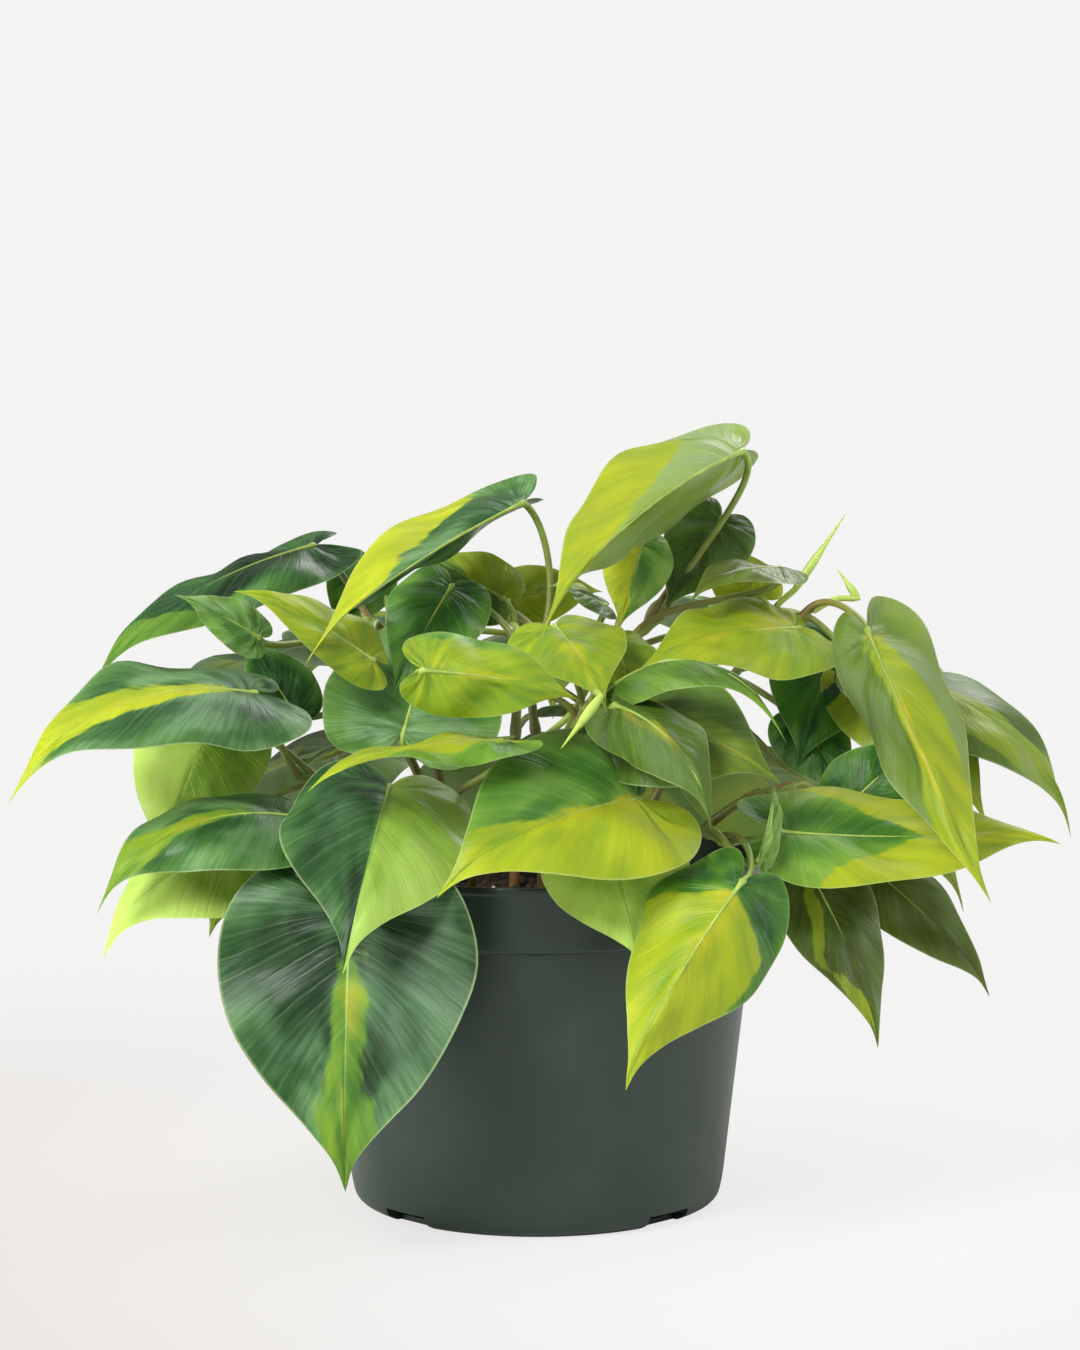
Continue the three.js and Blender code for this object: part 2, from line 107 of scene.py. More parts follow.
def blended(tree, share, first, second, kind="MIX"):
    made = tree.nodes.new("ShaderNodeMix")
    made.data_type = "RGBA"
    made.blend_type = kind
    for index, value in ((0, share), (6, first), (7, second)):
        fill(tree, made.inputs[index], value)
    return made.outputs[2]


# %% [markdown]
# Five more helpers stand for nodes that come up again and again: one stretches a range of values to
# another, one looks a colour up in a ramp, one makes noise, and two begin and end a material.

# %% More node helpers
def ranged(tree, value, low, high, to_low=0.0, to_high=1.0, smooth=True):
    made = node(tree, "ShaderNodeMapRange", interpolation_type="SMOOTHSTEP" if smooth else "LINEAR")
    for index, number in enumerate((value, low, high, to_low, to_high)):
        fill(tree, made.inputs[index], number)
    return made.outputs[0]


def ramp(tree, value, stops):
    made = node(tree, "ShaderNodeValToRGB", {"Fac": value})
    elements = made.color_ramp.elements
    while len(elements) < len(stops):
        elements.new(0.5)
    for element, (place, colour) in zip(elements, stops):
        element.position = place
        element.color = (*colour, 1)
    return made.outputs["Color"]


def noise_on(tree, place, scale, detail):
    noise = node(tree, "ShaderNodeTexNoise", {"Vector": place, "Scale": scale, "Detail": detail})
    return noise.outputs["Fac"]


def new_material(name):
    material = bpy.data.materials.new(name)
    material.use_nodes = True
    material.node_tree.nodes.clear()
    return material, material.node_tree


def finish_material(tree, inputs):
    shader = node(tree, "ShaderNodeBsdfPrincipled", inputs)
    output = node(tree, "ShaderNodeOutputMaterial")
    tree.links.new(shader.outputs[0], output.inputs["Surface"])
    return shader


# %% [markdown]
# The plant stands on a wide pale floor in soft light. To the camera the far floor and the sky are one even
# off-white, so there is no line between them; near the pot a share of an ordinary matt surface is mixed
# in, which keeps a faint shadow, and in front on the left a painted shadow makes the floor a little darker.
# What lights the plant is a softer and darker room: a sky that is bright overhead and dim at eye level,
# and five large lamps. Dark leaves stay dark in it, and their wax shows as a broad sheen. A Light Path node
# tells the camera's rays from all others.

# %% Floor
FLOOR_RADIUS = 14.0  # metres
FLOOR_SIDES = 96
SHADOW_SHARE = 0.15  # how much of the matt floor, with its shadow, shows near the pot
SHADOW_NEAR = 0.1  # metres from the axis; inside this it has its whole share
SHADOW_FAR = 0.3  # and beyond this none
FLOOR_COLOUR = (0.8, 0.795, 0.79, 1)
BACKDROP = (0.905, 0.9, 0.895, 1)
# Painted shadow on the floor: a darker, warmer tone in front on the left, set by the next four numbers.
PAINTED_FLOOR_SHADE = (0.81, 0.778, 0.755, 1)  # the floor's tone in front on the left, where the light fades
PAINTED_FLOOR_SHADE_X = (-0.22, 0.1, 1.0, 0.0)  # from here to here in metres, the dusk goes from full to none
PAINTED_FLOOR_SHADE_Y = (-0.05, 0.5, 1.0, 0.0)
PAINTED_FLOOR_SHADE_REACH = (0.8, 1.6, 1.0, 0.0)  # and so it does this far from the axis


def by_camera(tree, seen, lit):
    """A shader that the camera sees as one thing and every other ray as another."""
    path = node(tree, "ShaderNodeLightPath")
    mix = node(tree, "ShaderNodeMixShader", {"Fac": path.outputs["Is Camera Ray"]})
    tree.links.new(lit, mix.inputs[1])
    tree.links.new(seen, mix.inputs[2])
    return mix.outputs[0]


floor_mesh = bpy.data.meshes.new("floor")
floor_angles = np.linspace(0, 2 * math.pi, FLOOR_SIDES, endpoint=False)
floor_ring = [(FLOOR_RADIUS * math.cos(a), FLOOR_RADIUS * math.sin(a), 0) for a in floor_angles]
floor_mesh.from_pydata(floor_ring, [], [list(range(FLOOR_SIDES))])
floor = bpy.data.objects.new("floor", floor_mesh)
bpy.context.scene.collection.objects.link(floor)
floor_material, tree = new_material("floor_paint")
matt = node(tree, "ShaderNodeBsdfDiffuse", {"Color": FLOOR_COLOUR}).outputs[0]
where = node(tree, "ShaderNodeTexCoord").outputs["Object"]
x, y, z = node(tree, "ShaderNodeSeparateXYZ", {0: where}).outputs
away = node(tree, "ShaderNodeVectorMath", {0: where}, operation="LENGTH").outputs["Value"]
# Painted shadow: the camera's off-white floor is blended towards the darker tone in front on the left.
painted_floor_shade = sum_of(tree, "MULTIPLY", ranged(tree, x, *PAINTED_FLOOR_SHADE_X), ranged(tree, y, *PAINTED_FLOOR_SHADE_Y))
painted_floor_shade = sum_of(tree, "MULTIPLY", painted_floor_shade, ranged(tree, away, *PAINTED_FLOOR_SHADE_REACH))
even = node(tree, "ShaderNodeEmission", {"Color": blended(tree, painted_floor_shade, BACKDROP, PAINTED_FLOOR_SHADE)}).outputs[0]
share = ranged(tree, away, SHADOW_NEAR, SHADOW_FAR, SHADOW_SHARE, 0.0)
near = node(tree, "ShaderNodeMixShader", {"Fac": share, 1: even, 2: matt}).outputs[0]
tree.links.new(by_camera(tree, near, matt), node(tree, "ShaderNodeOutputMaterial").inputs["Surface"])
floor_mesh.materials.append(floor_material)
print("floor's radius in metres:", FLOOR_RADIUS)

# %% [markdown]
# The sky is a plain shade that grows brighter with height, and the camera sees the floor's off-white in its
# place. The lamps are wide area lights that all point at the pot: the key from the front on the left, weaker
# ones from the sides and the front, and one from behind that outlines the upper leaves.

# %% Sky and lamps
ROOM_LOW = (0.08, 0.08, 0.075, 1)
ROOM_HIGH = (0.73, 0.73, 0.7, 1)
ROOM_RISE = (0.05, 0.9)  # from here to here, as the height of a unit ray, the sky turns bright
LAMPS = [
    # name, place in metres, size in metres, watts
    ("lamp_key", (-0.8, -1.15, 1.25), 0.6, 30),
    ("lamp_fill", (1.4, -1.0, 0.7), 0.8, 8),
    ("lamp_left", (-1.5, -0.7, 0.3), 0.7, 20),
    ("lamp_right", (1.6, 0.6, 0.35), 0.9, 9),
    ("lamp_back", (0.6, 1.2, 1.3), 0.8, 15),
]

world = bpy.data.worlds.new("studio")
world.use_nodes = True
tree = world.node_tree
tree.nodes.clear()
toward_sky = node(tree, "ShaderNodeTexCoord").outputs["Generated"]
height = node(tree, "ShaderNodeSeparateXYZ", {0: toward_sky}).outputs["Z"]
room = blended(tree, ranged(tree, height, *ROOM_RISE), ROOM_LOW, ROOM_HIGH)
lit = node(tree, "ShaderNodeBackground", {"Color": room}).outputs[0]
seen = node(tree, "ShaderNodeBackground", {"Color": BACKDROP}).outputs[0]
tree.links.new(by_camera(tree, seen, lit), node(tree, "ShaderNodeOutputWorld").inputs["Surface"])
bpy.context.scene.world = world

for name, place, size, watts in LAMPS:
    lamp = bpy.data.lights.new(name, "AREA")
    lamp.size = size
    lamp.energy = watts
    lamp_object = bpy.data.objects.new(name, lamp)
    lamp_object.location = place
    toward = -lamp_object.location.normalized()
    lamp_object.rotation_euler = toward.to_track_quat("-Z", "Y").to_euler()
    bpy.context.scene.collection.objects.link(lamp_object)
bpy.context.scene.view_settings.view_transform = "Standard"
print("lamps:", len(LAMPS))

# %% [markdown]
# The plan of the plant comes next. It is the one that the model was built from: where each stem runs, and
# for each leaf where its stalk starts along the stem, where the stalk meets the blade, where the tip is,
# which way the upper face looks, the half width over the length, how far the midrib bows out, and for the
# left and right half the slope beside the midrib and the further turn by the edge, in degrees.

# %% The plan of stems and leaves
STEM_PLAN = [
    ["front_left", [[-22, -34], [-23, -37, 126], [-32, -50, 142], [-44, -58, 146]], [
        ["a1", 0.86, [-61.5, -86, 120], [-63.5, -104, 26], [-0.05, -1, 0.15], 0.455, 0.05, [10, -3], [8, 2]],
        ["a2", 0.97, [-49, -70, 156], [-62, -124, 106], [0.1, -1, 1], 0.46, 0.08, [0, 0], [-30, -30]],
        ["m1", 0.75, [-12, -74, 172], [-75, -104, 164], [0, -0.03, 1], 0.3, 0.04, [0, 0], [-15, -15]],
        ["u1", 0.64, [-82, -56, 144], [-146, -89, 121], [-0.3, -0.5, 1], 0.37, 0.16, [-10, 0], [-25, -20]],
    ]],
    ["front_middle", [[2, -40], [2, -41, 130], [6, -46, 158], [18, -62, 184]], [
        ["c1", 0.52, [34, -70, 152], [-32, -112, 130], [-0.1, -0.9, 1.1], 0.43, 0.08, [4, 28], [-18, -30]],
        ["j1", 0.79, [30, -58, 180], [80, -84, 161], [-0.2, -0.9, 0.8], 0.42, 0.06, [0, 0], [-20, -20]],
        ["j2", 0.63, [26, -76, 184], [58, -107, 149], [0.6, -0.9, 0.8], 0.3, 0.16, [5, -50], [-25, -40]],
        ["k1", 0.97, [25, -64, 189], [82, -98, 178], [0, -0.2, 1], 0.19, 0.24, [-40, -35], [-20, -20]],
        ["k2", 0.91, [6, -34, 206], [23, -78, 185], [0, -0.8, 1], 0.4, 0.06, [0, 0], [-20, -20]],
        ["k3", 0.86, [-37, -88, 197], [15, -84, 188], [0.1, -1, 0.8], 0.34, 0.04, [0, -60], [-20, -10]],
        ["k4", 0.72, [26, -22, 199], [36, -48, 180], [0, -1, 0.6], 0.38, 0.04, [0, 0], [-20, -20]],
    ]],
    ["front_right", [[34, -38], [38, -43, 126], [54, -56, 138], [66, -62, 134]], [
        ["d1", 0.68, [24, -75, 140], [34, -95, 101], [0.1, -1, 0.3], 0.56, 0.03, [0, 0], [-12, -12]],
        ["e1", 0.91, [67, -95, 128], [27, -121, 66], [-0.4, -1, 0.5], 0.35, 0.06, [-40, -5], [-25, -25]],
        ["f1", 0.97, [82, -64, 140], [179, -48, 139], [0, -0.6, 1], 0.23, -0.03, [12, -5], [-20, -15]],
        ["f2", 0.82, [74, -78, 132], [80, -66, 158], [1, -0.5, 0], 0.2, 0.02, [30, 30], [10, 10]],
    ]],
    ["right", [[50, -8], [54, -10, 128], [72, -18, 144], [92, -24, 150]], [
        ["g1", 0.76, [92, -40, 124], [117, -62, 67], [0.5, -1, 0.2], 0.28, 0.06, [0, 0], [-20, -20]],
        ["g2", 0.88, [112, -18, 123], [158, -28, 78], [0.2, -1, 0.6], 0.23, 0.08, [0, 0], [-20, -20]],
        ["i1", 0.97, [105, -34, 143], [132, -26, 166], [-0.2, -1, 0.4], 0.44, 0.06, [0, 0], [-20, -20]],
    ]],
    ["right_high", [[26, 8], [30, 6, 140], [60, 0, 188], [96, -2, 208]], [
        ["h1", 0.97, [112, -40, 205], [147, -96, 123], [-0.3, -1, 0.4], 0.21, 0.05, [-28, -30], [-20, -25]],
        ["h2", 0.94, [122, 0, 187], [189, -14, 134], [0.4, -0.6, 1], 0.3, 0.13, [-5, 0], [-20, -20]],
        ["h3", 0.87, [117, 8, 187], [156, -22, 139], [0.3, -1, 0.4], 0.34, 0.06, [0, 0], [-20, -20]],
        ["y1", 0.8, [91, -9, 203], [34, -47, 195], [0, -0.7, 1], 0.35, 0.06, [0, 0], [-20, -20]],
        ["aa1", 0.73, [104, 14, 196], [91, -6, 154], [0, -1, 0.3], 0.42, 0.05, [0, 0], [-20, -20]],
        ["aa2", 0.66, [92, 6, 170], [108, -8, 142], [0, -1, 0.7], 0.4, 0.05, [0, 0], [-20, -20]],
        ["h4", 0.5, [46, 18, 174], [86, 14, 156], [0, 0, 1], 0.4, 0.06, [0, 0], [-20, -20]],
    ]],
    ["top", [[14, -6], [15, -6, 140], [26, -4, 188], [46, 4, 208]], [
        ["x1", 0.97, [71, -2, 264], [0, -60, 210], [-0.3, -0.8, 0.9], 0.31, 0.08, [-115, -4], [-5, -10]],
        ["x3", 0.9, [65, 18, 239], [44, 0, 208], [0, -1, 0.5], 0.38, 0.05, [0, 0], [-20, -20]],
        ["x4", 0.86, [84, 2, 223], [52, -26, 216], [0, -0.2, 1], 0.36, 0.08, [0, 0], [-20, -20]],
        ["x5", 0.72, [80, 24, 210], [56, 32, 228], [0, -1, 0.3], 0.36, 0.04, [0, 0], [-20, -20]],
        ["bb4", 0.65, [37, 0, 232], [28, -16, 203], [0, -1, 0.2], 0.36, 0.05, [0, 0], [-20, -20]],
    ]],
    ["left", [[-48, -4], [-51, -5, 128], [-68, -11, 148], [-84, -16, 152]], [
        ["s1", 0.97, [-96, -40, 184], [-177, -72, 156], [-0.1, -0.5, 1], 0.35, 0.16, [0, 0], [-22, -20]],
        ["t1", 0.9, [-112, -14, 172], [-130, -38, 124], [-0.1, -1, 0.5], 0.43, 0.05, [0, 0], [-20, -20]],
        ["v1", 0.8, [-92, -46, 132], [-146, -74, 102], [-0.4, -0.7, 0.8], 0.4, 0.17, [-10, 0], [-25, -20]],
        ["w1", 0.7, [-98, -8, 140], [-113, -30, 99], [0, -1, 0.4], 0.4, 0.05, [0, 0], [-20, -20]],
        ["w2", 0.6, [-90, -20, 138], [-99, -42, 107], [0, -1, 0.4], 0.38, 0.05, [0, 0], [-20, -20]],
    ]],
    ["left_high", [[-30, 14], [-33, 14, 140], [-46, 14, 188], [-62, 14, 206]], [
        ["r1", 0.97, [-79, 14, 230], [-156, -28, 187], [-0.3, -0.6, 1], 0.2, 0.08, [-12, -14], [-15, -15]],
        ["q1", 0.75, [-94, -42, 203], [-120, -56, 219], [0, -1, 0.5], 0.27, 0.05, [0, 0], [-20, -20]],
        ["p1", 0.91, [-56, -30, 194], [-100, -48, 221], [0, -0.8, 0.8], 0.24, 0.05, [0, 0], [-20, -20]],
        ["cc1", 0.83, [-60, 30, 222], [-70, 16, 196], [0, -1, 0.4], 0.4, 0.04, [0, 0], [-20, -20]],
        ["dd2", 0.62, [-84, -4, 172], [-102, -10, 200], [0, -1, 0.4], 0.4, 0.04, [0, 0], [-20, -20]],
        ["l2", 0.46, [-48, 26, 164], [-88, 18, 148], [-0.2, 0.1, 1], 0.4, 0.06, [0, 0], [-20, -20]],
    ]],
    ["middle", [[-8, 2], [-8, 2, 140], [-6, 4, 184], [4, 6, 202]], [
        ["l1", 0.97, [-5, 0, 246], [-79, -52, 200], [-0.2, -0.8, 0.9], 0.25, 0.045, [-125, -8], [-5, -10]],
        ["p2", 0.84, [-30, 6, 216], [-50, -20, 182], [0, -0.9, 0.6], 0.38, 0.05, [0, 0], [-20, -20]],
        ["n1", 0.5, [-46, -30, 168], [-32, 24, 212], [0, -1, 0.9], 0.45, 0.05, [0, 0], [-20, -20]],
        ["bb1", 0.77, [-12, 16, 211], [-42, 26, 226], [0, -1, 0.5], 0.38, 0.04, [0, 0], [-20, -20]],
        ["bb2", 0.92, [-11, 34, 210], [24, 40, 212], [0, -1, 0.5], 0.34, 0.04, [0, 0], [-20, -20]],
        ["bb3", 0.7, [24, 12, 209], [4, -2, 218], [0, -0.6, 1], 0.36, 0.04, [0, 0], [-20, -20]],
        ["n2", 0.64, [-18, 24, 184], [-50, 42, 166], [-0.2, 0.3, 1], 0.38, 0.06, [0, 0], [-20, -20]],
        ["n3", 0.46, [14, 24, 172], [42, 62, 156], [0.1, 0.3, 1], 0.4, 0.06, [0, 0], [-20, -20]],
    ]],
    ["back_left", [[-34, 36], [-37, 39, 130], [-50, 48, 158], [-62, 54, 172]], [
        ["b1", 0.97, [-76, 38, 194], [-144, 76, 160], [-0.3, 0.3, 1], 0.42, 0.08, [0, 0], [-20, -20]],
        ["b2", 0.72, [-90, 42, 150], [-150, 56, 96], [-0.8, 0.5, 1], 0.42, 0.08, [0, 0], [-20, -20]],
        ["b3", 0.86, [-70, 76, 152], [-108, 116, 92], [-0.6, 1, 0.7], 0.4, 0.08, [0, 0], [-20, -20]],
    ]],
    ["back_middle", [[2, 40], [2, 44, 140], [-2, 52, 175], [4, 60, 192]], [
        ["b4", 0.9, [-50, 62, 202], [-92, 126, 170], [-0.3, 0.5, 1], 0.4, 0.08, [0, 0], [-20, -20]],
        ["b5", 0.97, [4, 76, 194], [6, 146, 158], [0, 0.5, 1], 0.36, 0.08, [0, 0], [-20, -20]],
        ["b6", 0.64, [-12, 92, 146], [-18, 130, 66], [0, 1, 0.5], 0.38, 0.08, [0, 0], [-20, -20]],
        ["b7", 0.76, [38, 88, 150], [54, 128, 76], [0.2, 1, 0.5], 0.4, 0.08, [0, 0], [-20, -20]],
    ]],
    ["back_right", [[36, 34], [40, 37, 132], [60, 42, 168], [74, 46, 184]], [
        ["b8", 0.97, [64, 64, 206], [92, 128, 170], [0.2, 0.6, 1], 0.4, 0.08, [0, 0], [-20, -20]],
        ["b9", 0.9, [98, 56, 186], [156, 90, 148], [0.4, 0.4, 1], 0.42, 0.08, [0, 0], [-20, -20]],
        ["b10", 0.68, [78, 68, 146], [118, 102, 80], [0.6, 1, 0.6], 0.42, 0.08, [0, 0], [-20, -20]],
        ["b11", 0.78, [100, 34, 146], [158, 48, 98], [0.8, 0.5, 1], 0.42, 0.08, [0, 0], [-20, -20]],
    ]],
]

# Young shoots: stem, how far along it, foot, tip and the foot's radius
SHOOT_PLAN = [
    ["right_high", 0.85, [90, 4, 215], [108, 10, 241], 1.3],
    ["right_high", 1, [112, 2, 212], [105, 6, 222], 1.1],
    ["middle", 0.9, [-11, 20, 203], [-11, 22, 222], 1.3],
    ["front_middle", 1, [21, -80, 187], [8, -96, 172], 1.4],
]

# %% [markdown]
# A brasil philodendron is green with a lime to yellow band, and no two leaves have the same one. A band is
# described on the flat leaf: its left and its right edge at the base and at each quarter of the midrib, in
# half widths from the midrib (-1 is the left edge of the leaf, 1 the right edge, and 2 lies beyond it), and
# how far along the midrib it starts, with the slant of that start. Then come three tones from 0 to 1:
# the band (green, lime, yellow), the left and the right half of the ground (almost black green to pale
# green). The last two say how much grey wax, partly a painted sheen, lies on the ground and how olive its
# green is. On some leaves one whole half is lime, and there the tone of that half alone says so.

# %% The marks on each leaf
MARK_PLACES = [0, 0.25, 0.5, 0.75]
LEFT = (-2, -2, -2, -2)
RIGHT = (2, 2, 2, 2)
NONE = (0, 0, 0, 0)
MARKS = {
    # leaf: left edge, right edge, (start, slant), (band, left, right), grey, olive
    "a1": ((-0.06, -0.12, -0.15, -0.2), (0.05, 0.1, 0.13, 0.18), (0.18, 0), (0.27, 0.05, 0.09), 0.45, 0),
    "a2": (NONE, NONE, (2, 0), (0.3, 0.62, 0.08), 0.2, 0),
    "m1": ((-0.2, -0.4, -0.5, -0.6), RIGHT, (-1, 0), (0.6, 0.38, 0.38), 0, 0),
    "u1": ((-0.05, -0.05, -0.1, -0.2), (0.06, 0.12, 0.15, 0.3), (0.2, 0.1), (0.38, 0.2, 0.2), 0.4, 0),
    "c1": (LEFT, (0, 0, 0.08, 0.3), (-1, 0), (0.58, 0.35, 0.36), 0.15, 0),
    "j1": ((-0.3, -0.3, -0.35, -0.3), (0.1, 0.15, 0.5, 0.5), (-1, 0), (0.16, 0.22, 0.24), 0, 0.5),
    "j2": (LEFT, RIGHT, (-1, 0), (0.05, 0.3, 0.3), 0, 0.3),
    "k1": (NONE, NONE, (2, 0), (0.3, 0.3, 0.3), 0, 0.4),
    "k2": (LEFT, RIGHT, (-1, 0), (0.52, 0.5, 0.5), 0, 0),
    "k3": ((-0.7, -0.8, -0.6, -2), RIGHT, (-1, 0), (0.47, 0.36, 0.36), 0, 0),
    "k4": (LEFT, RIGHT, (-1, 0), (0.5, 0.4, 0.4), 0, 0),
    "d1": (NONE, NONE, (2, 0), (0.3, 0.6, 0.68), 0, 0),
    "e1": ((-0.85, -0.8, -0.75, -0.9), RIGHT, (0.07, 0.15), (0.57, 0.23, 0.25), 0, 0),
    "f1": (LEFT, RIGHT, (0.48, -0.4), (0.63, 0.36, 0.37), 0, 0),
    "f2": (NONE, NONE, (2, 0), (0.4, 0.44, 0.5), 0.6, 0),
    "g1": ((0.05, 0.2, 0.55, 0.05), (0.15, 0.42, 0.75, 0.3), (0.05, 0), (0.36, 0.13, 0.12), 0.2, 0.7),
    "g2": (NONE, NONE, (2, 0), (0.2, 0.14, 0.12), 0.2, 0.8),
    "i1": (NONE, NONE, (2, 0), (0.3, 0.24, 0.22), 0, 0),
    "h1": ((-0.15, -0.45, -0.6, -0.5), (0.3, 0.08, 0.15, 0.4), (0.04, 0), (0.44, 0.54, 0.44), 1.2, 0.7),
    "h2": ((-0.1, -0.15, -0.3, -0.3), (0.3, 0.6, 0.6, 0.4), (-1, 0), (0.36, 0.24, 0.28), 0.5, 0.6),
    "h3": ((-0.05, -0.25, -0.3, -0.4), RIGHT, (-1, 0), (0.48, 0.28, 0.32), 0.5, 0.6),
    "h4": (NONE, NONE, (2, 0), (0.3, 0.2, 0.24), 0, 0.5),
    "y1": (LEFT, RIGHT, (-1, 0), (0.55, 0.4, 0.4), 0, 0),
    "aa1": (NONE, NONE, (2, 0), (0.3, 0.2, 0.22), 0, 0),
    "aa2": (NONE, NONE, (2, 0), (0.3, 0.22, 0.18), 0, 0),
    "x1": ((0.6, 0.38, 0.1, -0.2), RIGHT, (0.08, 0), (0.56, 0.72, 0.72), 1.0, 0.5),
    "x3": (NONE, NONE, (2, 0), (0.3, 0.2, 0.18), 0, 0.4),
    "x4": (NONE, NONE, (2, 0), (0.3, 0.26, 0.2), 0, 0.9),
    "x5": (LEFT, RIGHT, (-1, 0), (0.62, 0.3, 0.28), 0, 0.3),
    "bb4": ((0.1, 0.1, 0, -0.1), RIGHT, (-1, 0), (0.66, 0.4, 0.5), 0.2, 0),
    "s1": ((-0.02, -0.15, -0.18, -0.16), (0, 0.1, 0.3, 0.6), (0.06, 0), (0.66, 0.18, 0.25), 0.75, 0),
    # t1 and v1 hang in the shade of the leaves above them, and part of their pale tones is painted light.
    "t1": (NONE, NONE, (2, 0), (0.3, 0.5, 1.0), 0, 0.1),
    "v1": (NONE, NONE, (2, 0), (0.3, 1.0, 0.95), 0, 0.1),
    "w1": (LEFT, RIGHT, (0.5, 0.1), (0.4, 0.22, 0.22), 0, 0),
    "w2": (LEFT, RIGHT, (0.4, 0.1), (0.42, 0.22, 0.24), 0, 0),
    "r1": ((-0.55, -0.6, -0.75, -0.8), (-0.35, -0.4, -0.45, 0.2), (0.3, 0.1), (0.24, 0.08, 0.06), 0.1, 0),
    "q1": (NONE, NONE, (2, 0), (0.3, 0.38, 0.4), 0.8, 0),
    "p1": (LEFT, RIGHT, (-1, 0), (0.52, 0.4, 0.4), 0, 0),
    "cc1": (NONE, NONE, (2, 0), (0.3, 0.26, 0.28), 0.2, 0),
    "dd2": (NONE, NONE, (2, 0), (0.3, 0.18, 0.16), 0.2, 0),
    "l2": (NONE, NONE, (2, 0), (0.3, 0.26, 0.24), 0.4, 0),
    "l1": ((0.6, 0.45, 0.25, -0.1), RIGHT, (0.05, 0), (0.74, 0.2, 0.24), 0.75, 0),
    "p2": (NONE, NONE, (2, 0), (0.3, 0.28, 0.26), 0, 0),
    "n1": (NONE, NONE, (2, 0), (0.3, 0.34, 0.36), 0.85, 0),
    "bb1": ((0, 0, 0.1, 0.1), RIGHT, (-1, 0), (0.48, 0.28, 0.34), 0, 0.4),
    "bb2": (LEFT, RIGHT, (-1, 0), (0.54, 0.4, 0.4), 0, 0.2),
    "bb3": ((0.3, 0.3, 0.1, -0.2), RIGHT, (0.3, 0), (0.38, 0.24, 0.24), 0, 0.5),
    "n2": (LEFT, RIGHT, (-1, 0), (0.36, 0.4, 0.4), 0, 0),
    "n3": (NONE, NONE, (2, 0), (0.3, 0.24, 0.2), 0.2, 0),
    "b1": ((-0.2, -0.3, -0.5, -0.6), (0.1, 0.1, 0.2, 0.3), (0.05, 0), (0.55, 0.2, 0.24), 0.3, 0),
    "b2": (LEFT, (0.1, 0.05, 0.1, 0.3), (-1, 0), (0.44, 0.24, 0.18), 0.2, 0),
    "b3": ((-0.1, -0.1, -0.3, -0.4), (0.3, 0.5, 0.6, 2), (0.1, 0.1), (0.62, 0.18, 0.22), 0.4, 0),
    "b4": ((-0.3, -0.4, -0.4, -0.5), (0.2, 0.2, 0.3, 0.2), (-1, 0), (0.5, 0.26, 0.18), 0.2, 0),
    "b5": ((-0.1, -0.1, -0.2, -0.4), RIGHT, (0.05, 0.1), (0.64, 0.22, 0.28), 0.4, 0),
    "b6": ((-0.2, -0.1, -0.1, -0.2), (0.2, 0.1, 0.2, 0.3), (0.15, 0), (0.4, 0.16, 0.18), 0.2, 0),
    "b7": (LEFT, (0.2, 0.1, 0.3, 0.5), (0.1, 0.1), (0.46, 0.24, 0.2), 0, 0),
    "b8": ((-0.3, -0.4, -0.8, -1), (0.1, 0.1, 0.1, 0.2), (0.2, 0), (0.72, 0.3, 0.22), 0.4, 0),
    "b9": ((-0.1, 0, -0.1, -0.2), (0.4, 0.4, 0.6, 2), (-1, 0), (0.46, 0.2, 0.24), 0.2, 0),
    "b10": (LEFT, RIGHT, (-1, 0), (0.42, 0.4, 0.4), 0, 0),
    "b11": ((-0.5, -0.6, -0.7, -0.9), (0.1, 0, 0.1, 0.2), (0.1, 0), (0.58, 0.28, 0.18), 0.3, 0),
}
print("leaves with marks:", len(MARKS))

# %% [markdown]
# A heart-shaped blade is easiest to describe in its own flat coordinates: x runs along the midrib from
# the notch (0) to the tip (1), and y goes out to the edge as a share of the half width. A few chosen
# points along the edge, joined by a smooth curve, give the outline, and a second list says how far along
# the midrib the vein to each of those points starts. The grid of the blade follows the veins.

# %% The outline of a blade
EDGE_ALONG = [0, -0.09, -0.145, -0.11, 0.03, 0.22, 0.43, 0.62, 0.77, 0.89, 1]
EDGE_OUT = [0, 0.14, 0.38, 0.68, 0.93, 1.0, 0.89, 0.62, 0.31, 0.09, 0]
VEIN_START = [0, 0.003, 0.007, 0.013, 0.025, 0.06, 0.15, 0.3, 0.5, 0.74, 1]
VEIN_SWEEP = 1.3  # a side vein leaves the midrib and bends towards the tip by this power
BLADE_ROWS = 48
HALF_COLUMNS = 11
COLUMN_POWER = 1.35  # columns lie closer together beside the midrib


def smooth_curve(values, places):
    """A Catmull-Rom curve through evenly spaced values, read at places from 0 to 1."""
    values = np.asarray(values, float)
    longer = np.concatenate([[2 * values[0] - values[1]], values, [2 * values[-1] - values[-2]]])
    scaled = np.asarray(places) * (len(values) - 1)
    index = np.minimum(scaled.astype(int), len(values) - 2)
    t = scaled - index
    a, b, c, d = (longer[index + k] for k in range(4))
    return 0.5 * (2 * b + (c - a) * t + (2 * a - 5 * b + 4 * c - d) * t**2 + (3 * b - a - 3 * c + d) * t**3)


def unit(vectors):
    return vectors / np.linalg.norm(vectors, axis=-1, keepdims=True)


# %% [markdown]
# A leaf is never flat. Its midrib bows, its halves fold up or down beside the midrib and curl over towards
# the edge, and the edge waves a little. The function below puts a flat point on that bent blade. The midrib
# is a shallow arch from the base to the tip, and each half is a strip of a cylinder that starts at the
# fold's slope and turns steadily, so its width along the surface stays true.

